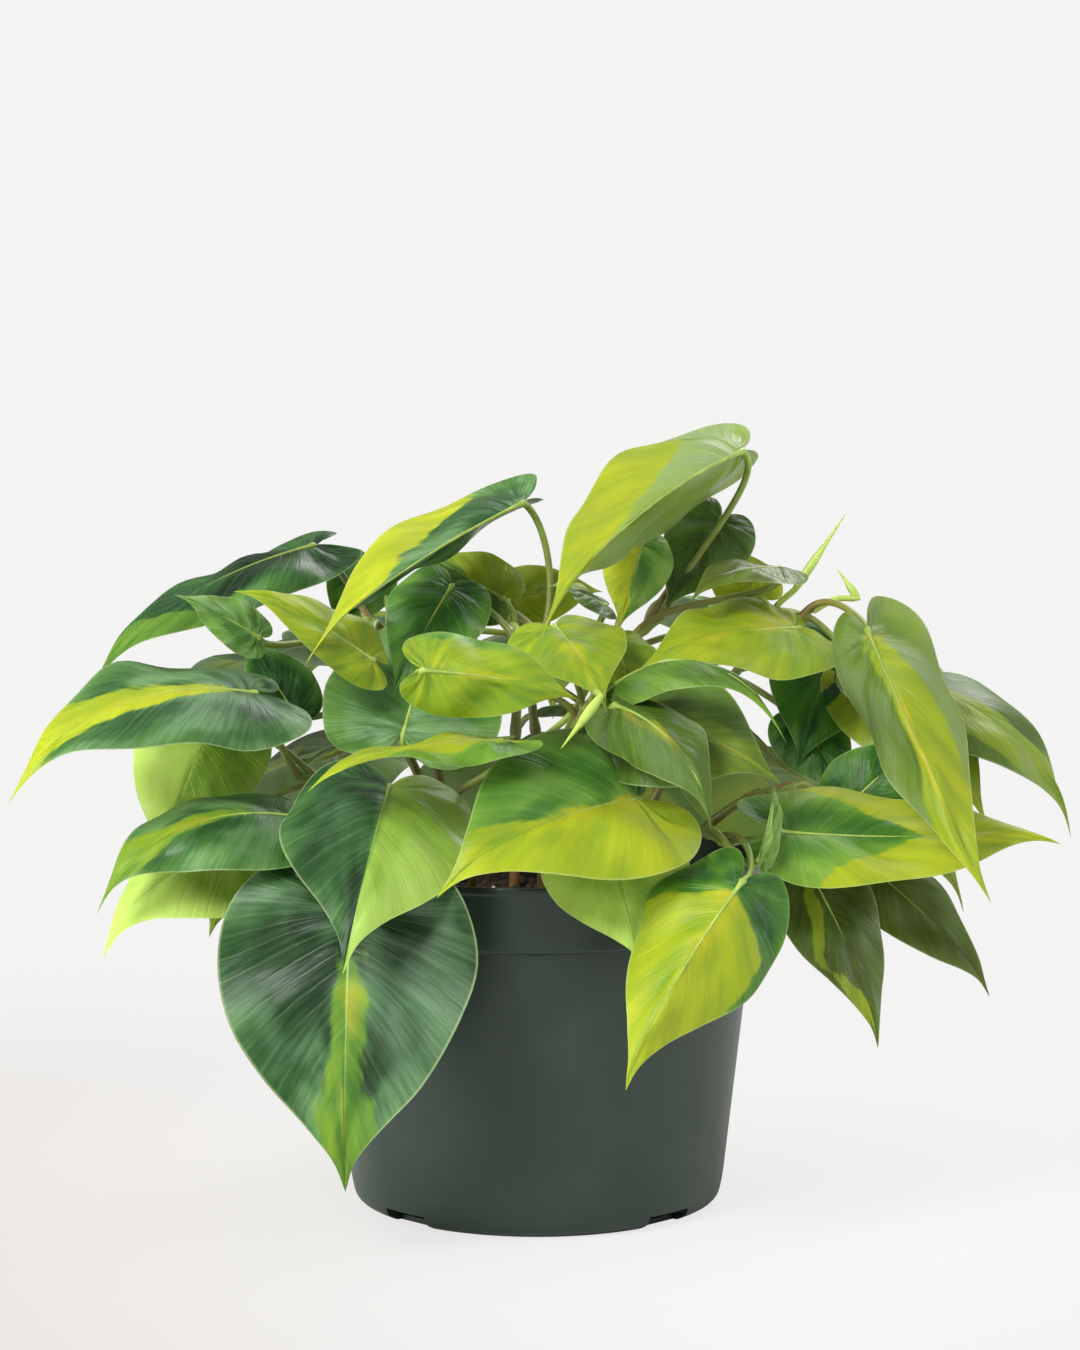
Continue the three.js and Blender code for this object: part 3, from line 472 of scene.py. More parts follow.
# %% Bending a blade
class Leaf:
    def __init__(self, row):
        self.name, self.at, base, tip, face, self.wide, self.arch, fold, curl = row
        self.base = np.array(base, float)
        self.chord = np.array(tip, float) - self.base
        self.length = np.linalg.norm(self.chord)
        self.along = self.chord / self.length
        face = np.array(face, float)
        self.up = unit(face - self.along * (face @ self.along))
        self.fold = np.radians(fold)
        self.curl = np.radians(curl)

    def midrib(self, share):
        """Points and directions of the midrib; a share below 0 runs straight on behind the base."""
        on = np.clip(share, 0, 1)[..., None]
        run = self.along + self.up * (self.arch * 4 * (1 - 2 * on))
        points = self.base + self.chord * on + self.up * (self.length * self.arch * 4 * on * (1 - on))
        points = points + run * (self.length * np.minimum(share, 0))[..., None]
        return points, unit(run)

    def surface(self, share, out):
        """Points of the blade: share along the midrib, and out from -1 (left) to 1 (right)."""
        points, run = self.midrib(share)
        up = unit(self.up - run * (run @ self.up)[..., None])
        right = np.cross(run, up)
        side = (out > 0).astype(int)
        start = self.fold[side]
        turn = self.curl[side]
        end = start + turn * np.abs(out)
        reach = self.length * self.wide / turn
        sideways = np.sign(out) * reach * (np.sin(end) - np.sin(start))
        upwards = reach * (np.cos(start) - np.cos(end))
        return points + right * sideways[..., None] + up * upwards[..., None]


# %% [markdown]
# Close up, the blade has relief: the midrib lies in a groove, the side veins pull the skin down a little
# and it bulges between them, the edge waves, and the thin tip bends away. The relief moves points along
# the surface's own direction, so it is added after the blade is bent. Upper and under skin are two such
# surfaces half a millimetre apart that come together at the edge.

# %% Relief on a blade
SKIN = 0.5  # thickness of the blade beside the midrib
EDGE_SKIN = 0.22
FULL_SKIN_AT = 2.5  # half width in millimetres, below which the skins come closer together
GROOVE_DEPTH = 0.7
GROOVE_WIDTH = 1.6
VEIN_PAIRS = 7
BULGE = 0.8
SWELL = 0.022  # share of the length by which the whole blade heaves
WAVE = 0.024  # share of the length by which the edge waves up and down
TIP_DROP = 0.08  # share of the length by which the tip bends away


def relief(leaf, station, out, share, draw):
    """How far each point is raised off the plain bent blade, in millimetres."""
    across = np.abs(out)
    side = (out > 0).astype(int)
    half_width = leaf.length * leaf.wide
    groove = -GROOVE_DEPTH * np.exp(-((across * half_width / GROOVE_WIDTH) ** 2)) * (1 - station**3)
    small = min(1.0, leaf.length / 80)
    quilt = np.abs(np.sin(math.pi * (VEIN_PAIRS * station + draw.uniform(0, 1))))
    bulges = BULGE * small * (quilt - 0.6) * np.sin(math.pi * across) * np.sin(math.pi * station)
    heave = 0
    for beats in (1.3, 2.3):
        phase = draw.uniform(0, 2 * math.pi, 4)
        heave = heave + np.sin(2 * math.pi * beats * share + phase[side]) * np.sin(
            math.pi * (across + phase[2 + side]))
    heave = heave * SWELL * leaf.length * np.sin(math.pi * across * 0.7) * np.sin(math.pi * station)
    waves = 0
    for beats in (2.1, 3.7):
        phase = draw.uniform(0, 2 * math.pi, 2)[side]
        waves = waves + np.sin(2 * math.pi * beats * station + phase) / beats
    waves = waves * WAVE * leaf.length * across**2 * np.sin(math.pi * station) ** 0.8
    return groove + bulges + heave + waves


def tip_drop(leaf, share):
    """How far the blade has bent away at a share of its midrib, in millimetres."""
    return TIP_DROP * leaf.length * np.clip((share - 0.75) / 0.25, 0, 1) ** 2


def grid_normals(points):
    """The direction that each point of a grid faces, from its neighbours along and across."""
    along = np.gradient(points, axis=0)
    across = np.gradient(points, axis=1)
    normals = np.cross(across, along)
    lengths = np.linalg.norm(normals, axis=-1, keepdims=True)
    normals = normals / np.maximum(lengths, 1e-9)
    normals[0], normals[-1] = normals[1], normals[-2]
    return normals


# %% [markdown]
# The band of a leaf is not a picture. Each point of the blade keeps one number, how deep it lies inside
# the band, and the material draws the edge where that number passes zero, as finely as the render asks.

# %% How deep a point lies in the band
def band_depth(marks, share, beside):
    """Above 0 inside the band and below 0 outside it, in half widths of the leaf."""
    left_edge, right_edge, (start, slant) = marks[:3]
    left = beside - np.interp(share, MARK_PLACES, left_edge)
    right = np.interp(share, MARK_PLACES, right_edge) - beside
    begin = (share - start - slant * np.abs(beside)) / 0.6
    return np.minimum(np.minimum(left, right), begin)


# %% [markdown]
# Each stem's leaves become one mesh. For every point of it the mesh also keeps what the leaf material
# asks for: where the point is on its leaf, how deep it lies inside the leaf's lime band, the leaf's
# tones, and whether it is on the upper or the under skin. These are named attributes, which the material
# reads back.

# %% Collect the parts of one mesh
class MeshParts:
    """Collects grids of points and their attributes, and turns them into one Blender mesh."""

    def __init__(self):
        self.points = []
        self.faces = []
        self.values = {}
        self.count = 0

    def add(self, points, faces, **values):
        self.faces.extend([index + self.count for index in face] for face in faces)
        self.points.append(points)
        for key, value in values.items():
            self.values.setdefault(key, []).append(value)
        self.count += len(points)

    def mesh(self, name):
        mesh = bpy.data.meshes.new(name)
        mesh.from_pydata(np.concatenate(self.points) * MM, [], self.faces)
        for key, parts in self.values.items():
            value = np.concatenate(parts).astype(np.float32)
            kind = "FLOAT" if value.ndim == 1 else "FLOAT_VECTOR"
            attribute = mesh.attributes.new(key, kind, "POINT")
            attribute.data.foreach_set("value" if value.ndim == 1 else "vector", value.ravel())
        mesh.update()
        return mesh


# %% [markdown]
# A blade is a closed shell of quads: an upper skin and an under skin on the same grid, which share their
# points along the rim. The first and the last row are single points, the notch and the tip, so the quads
# there shrink to triangles.

# %% Faces of a blade
def blade_faces(rows, columns):
    """Quads of the upper skin and the under skin, joined at the rim; the first and last row are points."""
    def at(row, column, under):
        if row == 0:
            return 0
        if row == rows:
            return 1
        inner = (row - 1) * (columns + 1) + column
        rim = column in (0, columns)
        if under and not rim:
            return 2 + (rows - 1) * (columns + 1) + (row - 1) * (columns - 1) + column - 1
        return 2 + inner

    faces = []
    for under in (False, True):
        for row in range(rows):
            for column in range(columns):
                a, b = at(row, column, under), at(row, column + 1, under)
                c, d = at(row + 1, column + 1, under), at(row + 1, column, under)
                face = list(dict.fromkeys((a, d, c, b) if under else (a, b, c, d)))
                if len(face) > 2:
                    faces.append(face)
    return faces


# %% [markdown]
# Now one blade is put together: a flat grid that follows the veins, bent, raised by its relief, dropped at
# the tip and given its thickness along its own direction. Only the under skin's inner points are new; its
# rim is the upper skin's.

# %% Put a blade together
def add_blade(parts, leaf, marks, draw, rows=BLADE_ROWS, half_columns=HALF_COLUMNS):
    stations = np.linspace(0, 1, rows + 1)
    steps = np.linspace(-1, 1, 2 * half_columns + 1)
    steps = np.sign(steps) * np.abs(steps) ** COLUMN_POWER
    station, out = np.meshgrid(stations, steps, indexing="ij")
    edge = smooth_curve(EDGE_ALONG, stations)[:, None]
    width = np.maximum(smooth_curve(EDGE_OUT, stations), 0)[:, None]
    vein = smooth_curve(VEIN_START, stations)[:, None]
    share = vein + (edge - vein) * np.abs(out) ** VEIN_SWEEP
    flat = leaf.surface(share, out * width)
    normals = grid_normals(flat)
    flat = flat + normals * relief(leaf, station, out, share, draw)[..., None]
    flat = flat - leaf.up * tip_drop(leaf, share)[..., None]
    normals = grid_normals(flat)
    slender = np.clip(width * leaf.length * leaf.wide / FULL_SKIN_AT, 0.1, 1)
    thick = ((SKIN + (EDGE_SKIN - SKIN) * np.abs(out) ** 3) * slender)[..., None]
    upper = flat + normals * thick / 2
    under = flat - normals * thick / 2
    upper[:, [0, -1]] = flat[:, [0, -1]]
    inner = (slice(1, -1), slice(1, -1))

    def pick(values, under_values):
        body = values[1:-1].reshape(-1, *values.shape[2:])
        hidden = under_values[inner].reshape(-1, *values.shape[2:])
        return np.concatenate([values[:1, 0], values[-1:, 0], body, hidden])

    ones = np.ones_like(station)
    band, left_tone, right_tone = marks[3]
    tone = left_tone + (right_tone - left_tone) * np.clip(0.5 + 6 * out, 0, 1)
    place = np.stack([station, out, ones * draw.uniform(0, 100)], axis=-1)
    tones = np.stack([ones * band, tone, band_depth(marks, share, out * width)], axis=-1)
    skin = [np.stack([side * ones, marks[4] * ones, marks[5] * ones], axis=-1) for side in (0, 1)]
    parts.add(
        pick(upper, under),
        blade_faces(rows, 2 * half_columns),
        place=pick(place, place),
        tones=pick(tones, tones),
        skin=pick(*skin),
    )


# %% [markdown]
# Now the leaf material. One node group turns the place on the leaf into the patterns that it uses: long
# streaks that follow the side veins, the side veins themselves, a fine mottle, and broad patches and soft
# folds. The streaks come from a noise that is stretched along the veins, because that is how the lime tissue
# of this plant spreads: it feathers out along the veins.

# %% Streaks, veins and mottle as a node group
def make_group(name, inputs, outputs):
    tree = bpy.data.node_groups.new(name, "ShaderNodeTree")
    for label, kind, value in inputs:
        socket = tree.interface.new_socket(label, in_out="INPUT", socket_type=kind)
        socket.default_value = value
    for label, kind in outputs:
        tree.interface.new_socket(label, in_out="OUTPUT", socket_type=kind)
    return tree, tree.nodes.new("NodeGroupInput"), tree.nodes.new("NodeGroupOutput")


VEIN_TREE, given, result = make_group(
    "vein patterns",
    [
        ("Station", "NodeSocketFloat", 0.0),
        ("Out", "NodeSocketFloat", 0.0),
        ("Seed", "NodeSocketFloat", 0.0),
        ("Streak Count", "NodeSocketFloat", 22.0),
        ("Vein Count", "NodeSocketFloat", 26.0),
    ],
    [(label, "NodeSocketFloat") for label in ("Streaks", "Fine Streaks", "Patches", "Folds", "Veins")],
)


def stretched_noise(tree, across_scale, out_scale, seed_shift, detail):
    """Noise in the leaf's own coordinates: across_scale cells from base to tip, out_scale along a vein."""
    x = sum_of(tree, "MULTIPLY", given.outputs["Station"], across_scale)
    y = sum_of(tree, "MULTIPLY", given.outputs["Out"], out_scale)
    z = sum_of(tree, "ADD", given.outputs["Seed"], seed_shift)
    place = node(tree, "ShaderNodeCombineXYZ", {"X": x, "Y": y, "Z": z})
    return ranged(tree, noise_on(tree, place.outputs[0], 1.0, detail), 0.28, 0.72)


streaks = stretched_noise(VEIN_TREE, given.outputs["Streak Count"], 1.3, 0.0, 3.0)
fine = stretched_noise(VEIN_TREE, 90.0, 2.4, 17.0, 2.0)
patches = stretched_noise(VEIN_TREE, 4.5, 1.8, 31.0, 2.0)
folds = stretched_noise(VEIN_TREE, 9.0, 0.9, 47.0, 1.0)
bent = sum_of(VEIN_TREE, "MULTIPLY_ADD", patches, 0.008, given.outputs["Station"])
wave = sum_of(VEIN_TREE, "SINE", sum_of(VEIN_TREE, "MULTIPLY", bent, sum_of(
    VEIN_TREE, "MULTIPLY", given.outputs["Vein Count"], math.pi)))
lines = ranged(VEIN_TREE, sum_of(VEIN_TREE, "ABSOLUTE", wave), 0.0, 0.34, 1.0, 0.0)
for label, value in (("Streaks", streaks), ("Fine Streaks", fine), ("Patches", patches), ("Folds", folds),
                     ("Veins", lines)):
    VEIN_TREE.links.new(value, result.inputs[label])

# %% [markdown]
# A leaf's green and lime each run through many shades, so both are ramps of colours. A tone from 0 to 1
# picks the shade, which lets one number per leaf set its mood and a little noise vary it. Grey wax, olive
# and amber are single colours that are laid over the ramps in part; the grey wax is partly the leaf's own
# bloom and partly a painted sheen.

# %% Leaf colours
GREENS = [
    (0.0, (0.003, 0.018, 0.003)),
    (0.14, (0.012, 0.058, 0.009)),
    (0.3, (0.045, 0.14, 0.014)),
    (0.45, (0.12, 0.25, 0.025)),
    (0.62, (0.23, 0.36, 0.045)),
    (1.0, (0.4, 0.57, 0.1)),
]
LIMES = [
    (0.1, (0.024, 0.085, 0.01)),
    (0.3, (0.09, 0.19, 0.015)),
    (0.45, (0.155, 0.25, 0.012)),
    (0.6, (0.25, 0.315, 0.008)),
    (0.8, (0.37, 0.42, 0.012)),
    (1.0, (0.56, 0.51, 0.05)),
]
# Grey wax colour: partly the leaf's own wax bloom, partly a painted sheen for the bluish highlight on dark
# leaves.
GREY_WAX_AND_SHEEN = (0.19, 0.3, 0.195, 1)
OLIVE = (0.085, 0.095, 0.008, 1)
AMBER = (0.4, 0.31, 0.012, 1)
EDGE_LINE = (0.42, 0.54, 0.22, 1)
UNDER_TINT = (0.26, 0.36, 0.1, 1)
print("shades of green and of lime:", len(GREENS), len(LIMES))

# %% [markdown]
# The leaf material reads what the mesh keeps and asks the node group for its patterns. Two helpers keep
# the sums short: one splits a kept vector into its three numbers, and one lets a pattern push a value to
# both sides by a given amount.

# %% What the leaf material reads
leaf_material, tree = new_material("leaf_skin")


def split(tree, name):
    """The three numbers that the mesh keeps under one name."""
    kept = node(tree, "ShaderNodeAttribute", attribute_name=name)
    return node(tree, "ShaderNodeSeparateXYZ", {"Vector": kept.outputs["Vector"]}).outputs


def swing(tree, value, amount, onto):
    """Adds a pattern that swings about a half to a value."""
    return sum_of(tree, "MULTIPLY_ADD", sum_of(tree, "SUBTRACT", value, 0.5), amount, onto)


station, out, seed = split(tree, "place")
band_tone, ground_tone, depth = split(tree, "tones")
under, grey, olive = split(tree, "skin")
pattern = node(tree, "ShaderNodeGroup", node_tree=VEIN_TREE)
for label, value in (("Station", station), ("Out", out), ("Seed", seed)):
    tree.links.new(value, pattern.inputs[label])
streaks, fine, patches, folds, veins = pattern.outputs

# %% [markdown]
# The band's edge is the depth that each point keeps, pushed in and out by the streaks, and cut off
# sharply, so it is feathered but clear. Between the dark green and the lime there is often a zone of
# middle green, which gets its own wider mask. The ground is blotched, and it carries painted shade from the
# fold pattern that also shapes the bump; the lime takes the same painted shade. The ground is a little
# paler by the margin, and its grey wax, partly a painted sheen, lies on it in broken patches. Along the
# midrib the lime warms to amber in places.

# %% Ground and band of a leaf
BAND_EDGE = 0.03  # half widths of the leaf over which green turns to lime, to each side
HALO = (-0.22, 0.1)  # depths between which the middle green comes in
MARGIN_TONES = (-0.03, 0.06)  # what the ground's tone gains near the midrib and at the margin

feather = swing(tree, patches, 0.1, swing(tree, fine, 0.012, swing(tree, streaks, 0.05, depth)))
band = ranged(tree, feather, -BAND_EDGE, BAND_EDGE)
halo = ranged(tree, swing(tree, patches, 0.25, feather), *HALO)
across = sum_of(tree, "ABSOLUTE", out)
margin = ranged(tree, across, 0.3, 1.0, *MARGIN_TONES)
# Painted shade mixed with real blotches: the fold pattern, which also drives the bump, darkens and lightens
# the tone.
blotch_and_painted_shade = swing(tree, patches, 0.14, swing(tree, folds, 0.12, 0.0))
ground = sum_of(tree, "ADD", swing(tree, fine, 0.05, margin), sum_of(tree, "ADD", ground_tone, blotch_and_painted_shade))
green = ramp(tree, sum_of(tree, "MULTIPLY_ADD", halo, 0.08, ground), GREENS)
# Broken patches of grey wax along streaks and folds; the wax is partly a painted sheen.
broken = ranged(tree, swing(tree, streaks, 0.3, swing(tree, folds, 0.5, patches)), 0.2, 0.95, 0.15, 0.85)
bloom = ranged(tree, fine, 0.0, 1.0, 0.6, 1.2)
wax_and_painted_sheen = sum_of(tree, "MULTIPLY", grey, sum_of(tree, "MULTIPLY", broken, bloom))
green = blended(tree, sum_of(tree, "MULTIPLY", wax_and_painted_sheen, 0.62), green, GREY_WAX_AND_SHEEN)
green = blended(tree, sum_of(tree, "MULTIPLY", olive, 0.75), green, OLIVE)
# The lime's tone takes the same painted fold shade.
lime_tone = swing(tree, streaks, 0.14, sum_of(tree, "MULTIPLY_ADD", blotch_and_painted_shade, 0.8, band_tone))
lime = ramp(tree, lime_tone, LIMES)
beside_rib = ranged(tree, across, 0.02, 0.3, 0.4, 0.0)
warm = sum_of(tree, "MULTIPLY", ranged(tree, patches, 0.5, 0.9), beside_rib)
lime = blended(tree, sum_of(tree, "MULTIPLY_ADD", olive, 0.25, warm), lime, AMBER)
colour = blended(tree, band, green, lime)

# %% [markdown]
# Thin pale lines finish the colour: the side veins very faintly, the midrib, and the edge, where the blade
# is thin: partly its own pale margin, partly a painted rim highlight. The under skin is paler all over.

# %% Veins, midrib and edge
VEIN_SHOWS = 0.04
RIB = (0.008, 0.02, 0.3, 0.0)  # from here to here across a half, the pale midrib fades out
EDGE = (0.978, 0.992, 0.0, 0.28)  # and from here to here the pale edge comes in
UNDER_PALER = 0.4

colour = blended(tree, sum_of(tree, "MULTIPLY", veins, VEIN_SHOWS), colour, EDGE_LINE)
colour = blended(tree, ranged(tree, across, *RIB), colour, EDGE_LINE)
# The pale edge is partly the leaf's own margin and partly a painted rim highlight.
colour = blended(tree, ranged(tree, across, *EDGE), colour, EDGE_LINE)
colour = blended(tree, sum_of(tree, "MULTIPLY", under, UNDER_PALER), colour, UNDER_TINT)

# %% [markdown]
# The skin is waxy: smooth enough for a broad sheen, a little duller on the lime and on the under side.
# Soft folds, streaks and sunken veins are a bump on it, because they are far finer than the mesh. The
# bump fades towards the narrow tip, where the patterns run close together. A touch of subsurface
# scattering lets light through the blade.

# %% Gloss and relief of a leaf
ROUGH = 0.33
RELIEF_FADE = (0.75, 0.97, 0.52, 0.08)  # from here to here along the leaf, the bump's strength falls
RELIEF_DEPTH = 0.0007  # metres

rough = sum_of(tree, "MULTIPLY_ADD", patches, 0.14, sum_of(tree, "MULTIPLY_ADD", band, 0.1, ROUGH))
rough = sum_of(tree, "MULTIPLY_ADD", under, 0.14, swing(tree, fine, 0.08, rough))
height = sum_of(tree, "MULTIPLY_ADD", folds, 2.0, sum_of(tree, "MULTIPLY_ADD", veins, -0.15, patches))
height = sum_of(tree, "MULTIPLY_ADD", streaks, 0.5, sum_of(tree, "MULTIPLY_ADD", fine, 0.12, height))
strength = ranged(tree, station, *RELIEF_FADE)
bump = node(tree, "ShaderNodeBump", {"Height": height, "Strength": strength, "Distance": RELIEF_DEPTH})
finish_material(tree, {
    "Base Color": colour,
    "Roughness": rough,
    "Normal": bump.outputs[0],
    "Subsurface Weight": 0.06,
    "Subsurface Radius": (0.002, 0.003, 0.0008),
    "Subsurface Scale": 1.0,
    "Specular IOR Level": 0.22,
})

# %% [markdown]
# The blades are made now, stem by stem. Each piece replaces the model's node of that stem and moves with
# the plant's one body.

# %% Make the blades
def ready(piece, slot, *nodes):
    """Links a piece to the scene, smooths its shading, lets it ride on the plant's body and hides the
    model's nodes that it stands for.
    """
    if piece.name not in bpy.context.scene.collection.objects:
        bpy.context.scene.collection.objects.link(piece)
    piece.data.shade_smooth()
    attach(piece, STAND_BODY)
    if nodes:
        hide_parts(*nodes)
    return piece


triangles = 0
for stem, path, leaves in STEM_PLAN:
    parts = MeshParts()
    for row in leaves:
        draw = np.random.default_rng(sum(row[0].encode()) * 7)
        add_blade(parts, Leaf(row), MARKS[row[0]], draw)
    mesh = parts.mesh(f"leaves_{stem}")
    mesh.materials.append(leaf_material)
    ready(bpy.data.objects.new(f"leaves_{stem}", mesh), "foliage", f"stem_{stem}")
    mesh.set_sharp_from_angle(angle=math.radians(70))
    triangles += sum(len(face.vertices) - 2 for face in mesh.polygons)
print("triangles in the blades:", triangles)

# %% [markdown]
# Stems and leaf stalks are round and smooth, a little thicker at each joint and where a stalk meets its
# blade. They all follow lines, so Geometry Nodes make them: a mesh of bare lines goes in, with the radius
# and the tone at each of its points, and round tubes with closed ends come out.

# %% The tube tree
def geometry_tree(name, inputs):
    tree = bpy.data.node_groups.new(name, "GeometryNodeTree")
    tree.interface.new_socket("Geometry", in_out="INPUT", socket_type="NodeSocketGeometry")
    for label, kind, value in inputs:
        socket = tree.interface.new_socket(label, in_out="INPUT", socket_type=kind)
        if value is not None:
            socket.default_value = value
    tree.interface.new_socket("Geometry", in_out="OUTPUT", socket_type="NodeSocketGeometry")
    return tree, tree.nodes.new("NodeGroupInput"), tree.nodes.new("NodeGroupOutput")


TUBE_TREE, given, result = geometry_tree(
    "tubes on lines",
    [("Sides", "NodeSocketInt", 10), ("Material", "NodeSocketMaterial", None)],
)
lines = node(TUBE_TREE, "GeometryNodeMeshToCurve", {"Mesh": given.outputs["Geometry"]})
thick = node(TUBE_TREE, "GeometryNodeInputNamedAttribute", {"Name": "thick"}, data_type="FLOAT")
ring = node(TUBE_TREE, "GeometryNodeCurvePrimitiveCircle", {
    "Resolution": given.outputs["Sides"], "Radius": 1.0})
tube = node(TUBE_TREE, "GeometryNodeCurveToMesh", {
    "Curve": lines.outputs[0], "Profile Curve": ring.outputs["Curve"],
    "Scale": thick.outputs["Attribute"], "Fill Caps": True})
whole = node(TUBE_TREE, "GeometryNodeRealizeInstances", {"Geometry": tube.outputs[0]})
painted = node(TUBE_TREE, "GeometryNodeSetMaterial", {
    "Geometry": whole.outputs[0], "Material": given.outputs["Material"]})
TUBE_TREE.links.new(painted.outputs[0], result.inputs["Geometry"])


def grown(source, tree, settings, name):
    """Runs a geometry tree on an object and gives its result back as a new object with a plain mesh."""
    modifier = source.modifiers.new("grow", "NODES")
    modifier.node_group = tree
    for item in tree.interface.items_tree:
        if item.item_type == "SOCKET" and item.in_out == "INPUT" and item.name in settings:
            modifier[item.identifier] = settings[item.name]
    bpy.context.view_layer.update()
    depsgraph = bpy.context.evaluated_depsgraph_get()
    mesh = bpy.data.meshes.new_from_object(source.evaluated_get(depsgraph), depsgraph=depsgraph)
    source.modifiers.remove(modifier)
    bpy.data.objects.remove(source)
    mesh.name = name
    return bpy.data.objects.new(name, mesh)


# %% [markdown]
# A stem is pale brown where it leaves the soil and green further up. A stalk is lime green, a little
# browner at its foot. A faint mottle and a soft gloss make both look fresh. The tone of each
# point, from 0 (brown) to 1 (lime), comes with the lines.

# %% Stalk material
stalk_material, tree = new_material("stalk_skin")
tone = node(tree, "ShaderNodeAttribute", attribute_name="tone").outputs["Fac"]
where = node(tree, "ShaderNodeTexCoord").outputs["Object"]
mottle = noise_on(tree, where, 260.0, 1.0)
value = sum_of(tree, "MULTIPLY_ADD", sum_of(tree, "SUBTRACT", mottle, 0.5), 0.3, tone)
colour = ramp(tree, value, [
    (0.0, (0.07, 0.022, 0.01)),
    (0.3, (0.24, 0.12, 0.035)),
    (0.55, (0.17, 0.19, 0.035)),
    (0.8, (0.22, 0.32, 0.045)),
    (1.0, (0.42, 0.55, 0.1)),
])
bump = node(tree, "ShaderNodeBump", {"Height": mottle, "Strength": 0.3, "Distance": 0.0003})
finish_material(tree, {"Base Color": colour, "Roughness": 0.42, "Normal": bump.outputs[0]})

# %% [markdown]
# The tube tree takes one mesh of bare lines for each stem. A small class collects the lines with a radius
# and a tone at each of their points, in millimetres, and makes that mesh.

# %% Collect the lines of one stem
class Lines:
    """Bare lines with a radius and a tone at each point."""

    def __init__(self):
        self.points = []
        self.edges = []
        self.thick = []
        self.tone = []

    def add(self, points, thick, tone):
        first = len(self.points)
        self.points.extend(points.tolist())
        self.edges.extend((first + k, first + k + 1) for k in range(len(points) - 1))
        self.thick.extend(np.broadcast_to(thick, len(points)).tolist())
        self.tone.extend(np.broadcast_to(tone, len(points)).tolist())

    def object(self, name):
        mesh = bpy.data.meshes.new(name)
        mesh.from_pydata([[x * MM for x in point] for point in self.points], self.edges, [])
        for key, values in (("thick", [MM * v for v in self.thick]), ("tone", self.tone)):
            mesh.attributes.new(key, "FLOAT", "POINT").data.foreach_set("value", values)
        piece = bpy.data.objects.new(name, mesh)
        bpy.context.scene.collection.objects.link(piece)
        return piece


# %% [markdown]
# The lines are worked out from the same plan as the blades. A stem goes straight up through the soil and on
# through its points as a smooth curve. Where a stalk starts is given as a share of the stem's length, so
# the curve is measured first.

# %% Where a stem runs
STEM_FOOT = 96  # height of its end inside the soil
SOIL_TOP = 110


def through(points, count):
    """A smooth line through chosen points."""
    points = np.array(points, float)
    places = np.linspace(0, 1, count)
    return np.stack([smooth_curve(points[:, k], places) for k in range(3)], axis=1)


def stem_points(path):
    x, y = path[0]
    return [(x, y, STEM_FOOT), (x, y, SOIL_TOP + 2), *path[1:]]


def stem_at(path, at):
    """The point at a share of the stem's length, and the way the stem runs there."""
    line = through(stem_points(path), 200)
    lengths = np.concatenate([[0], np.cumsum(np.linalg.norm(np.diff(line, axis=0), axis=1))])
    full = lengths / lengths[-1]
    point = np.array([np.interp(at, full, line[:, k]) for k in range(3)])
    later = np.array([np.interp(min(at + 0.01, 1), full, line[:, k]) for k in range(3)])
    earlier = np.array([np.interp(at - 0.01, full, line[:, k]) for k in range(3)])
    return point, unit(later - earlier)


# %% [markdown]
# A stem grows thinner upwards and is swollen at its joints. A stalk leaves it upwards, curves over and
# comes in under its blade, and then runs on as the raised midrib on the blade's under side, thinner and
# thinner, dropping with the tip. The young shoots are rolled leaves: short spikes that swell a little above
# their foot and end in a point.

# %% Lines of a stem, a stalk and a shoot
STEM_RADIUS = 2.0
STALK_RADIUS = 1.2
RIB_RADIUS = 0.55
JOINT_SWELL = 0.45  # how much thicker a stem or a midrib is where a stalk joins it
STEM_POINTS = 90
STALK_POINTS = 22
RIB_POINTS = 16


def add_stem(lines, path, leaves):
    line = through(stem_points(path), STEM_POINTS)
    share = np.linspace(0, 1, STEM_POINTS)
    thick = STEM_RADIUS * (1 - 0.25 * share)
    for row in leaves:
        thick = thick + JOINT_SWELL * np.exp(-(((share - row[1]) / 0.015) ** 2))
    thick[-4:] *= np.array([0.95, 0.8, 0.55, 0.2])
    lines.add(line, thick, 0.15 + 0.6 * share)


def add_stalk(lines, path, leaf, draw):
    start, run = stem_at(path, leaf.at)
    span = np.linalg.norm(leaf.base - start)
    rise = unit(run + np.array([0, 0, 1.0]))
    first_run = leaf.midrib(np.array(0.0))[1]
    foot = leaf.base - leaf.up * 0.5
    approach = unit(leaf.up * 0.8 + first_run * 0.7)
    t = np.linspace(0, 1, STALK_POINTS)[:, None]
    a, b, c = start, start + rise * 0.35 * span, foot - approach * 0.35 * span
    bend = (1 - t) ** 3 * a + 3 * t * (1 - t) ** 2 * b + 3 * t**2 * (1 - t) * c + t**3 * foot
    share = np.linspace(0.02, 0.9, RIB_POINTS)
    rib = leaf.midrib(share)[0] - leaf.up * (0.55 - 0.25 * share + tip_drop(leaf, share))[:, None]
    line = np.concatenate([bend, rib])
    thick = np.concatenate([
        STALK_RADIUS * (1 + 0.5 * np.exp(-t[:, 0] / 0.05) + 0.15 * np.exp(-(1 - t[:, 0]) / 0.08)),
        RIB_RADIUS * (1 - 0.85 * share) + JOINT_SWELL * np.exp(-share / 0.06),
    ])
    tone = np.concatenate([0.55 + 0.35 * t[:, 0], np.full(RIB_POINTS, 0.9)])
    tone = tone + draw.uniform(-0.22, 0.05)
    lines.add(line, thick, tone)


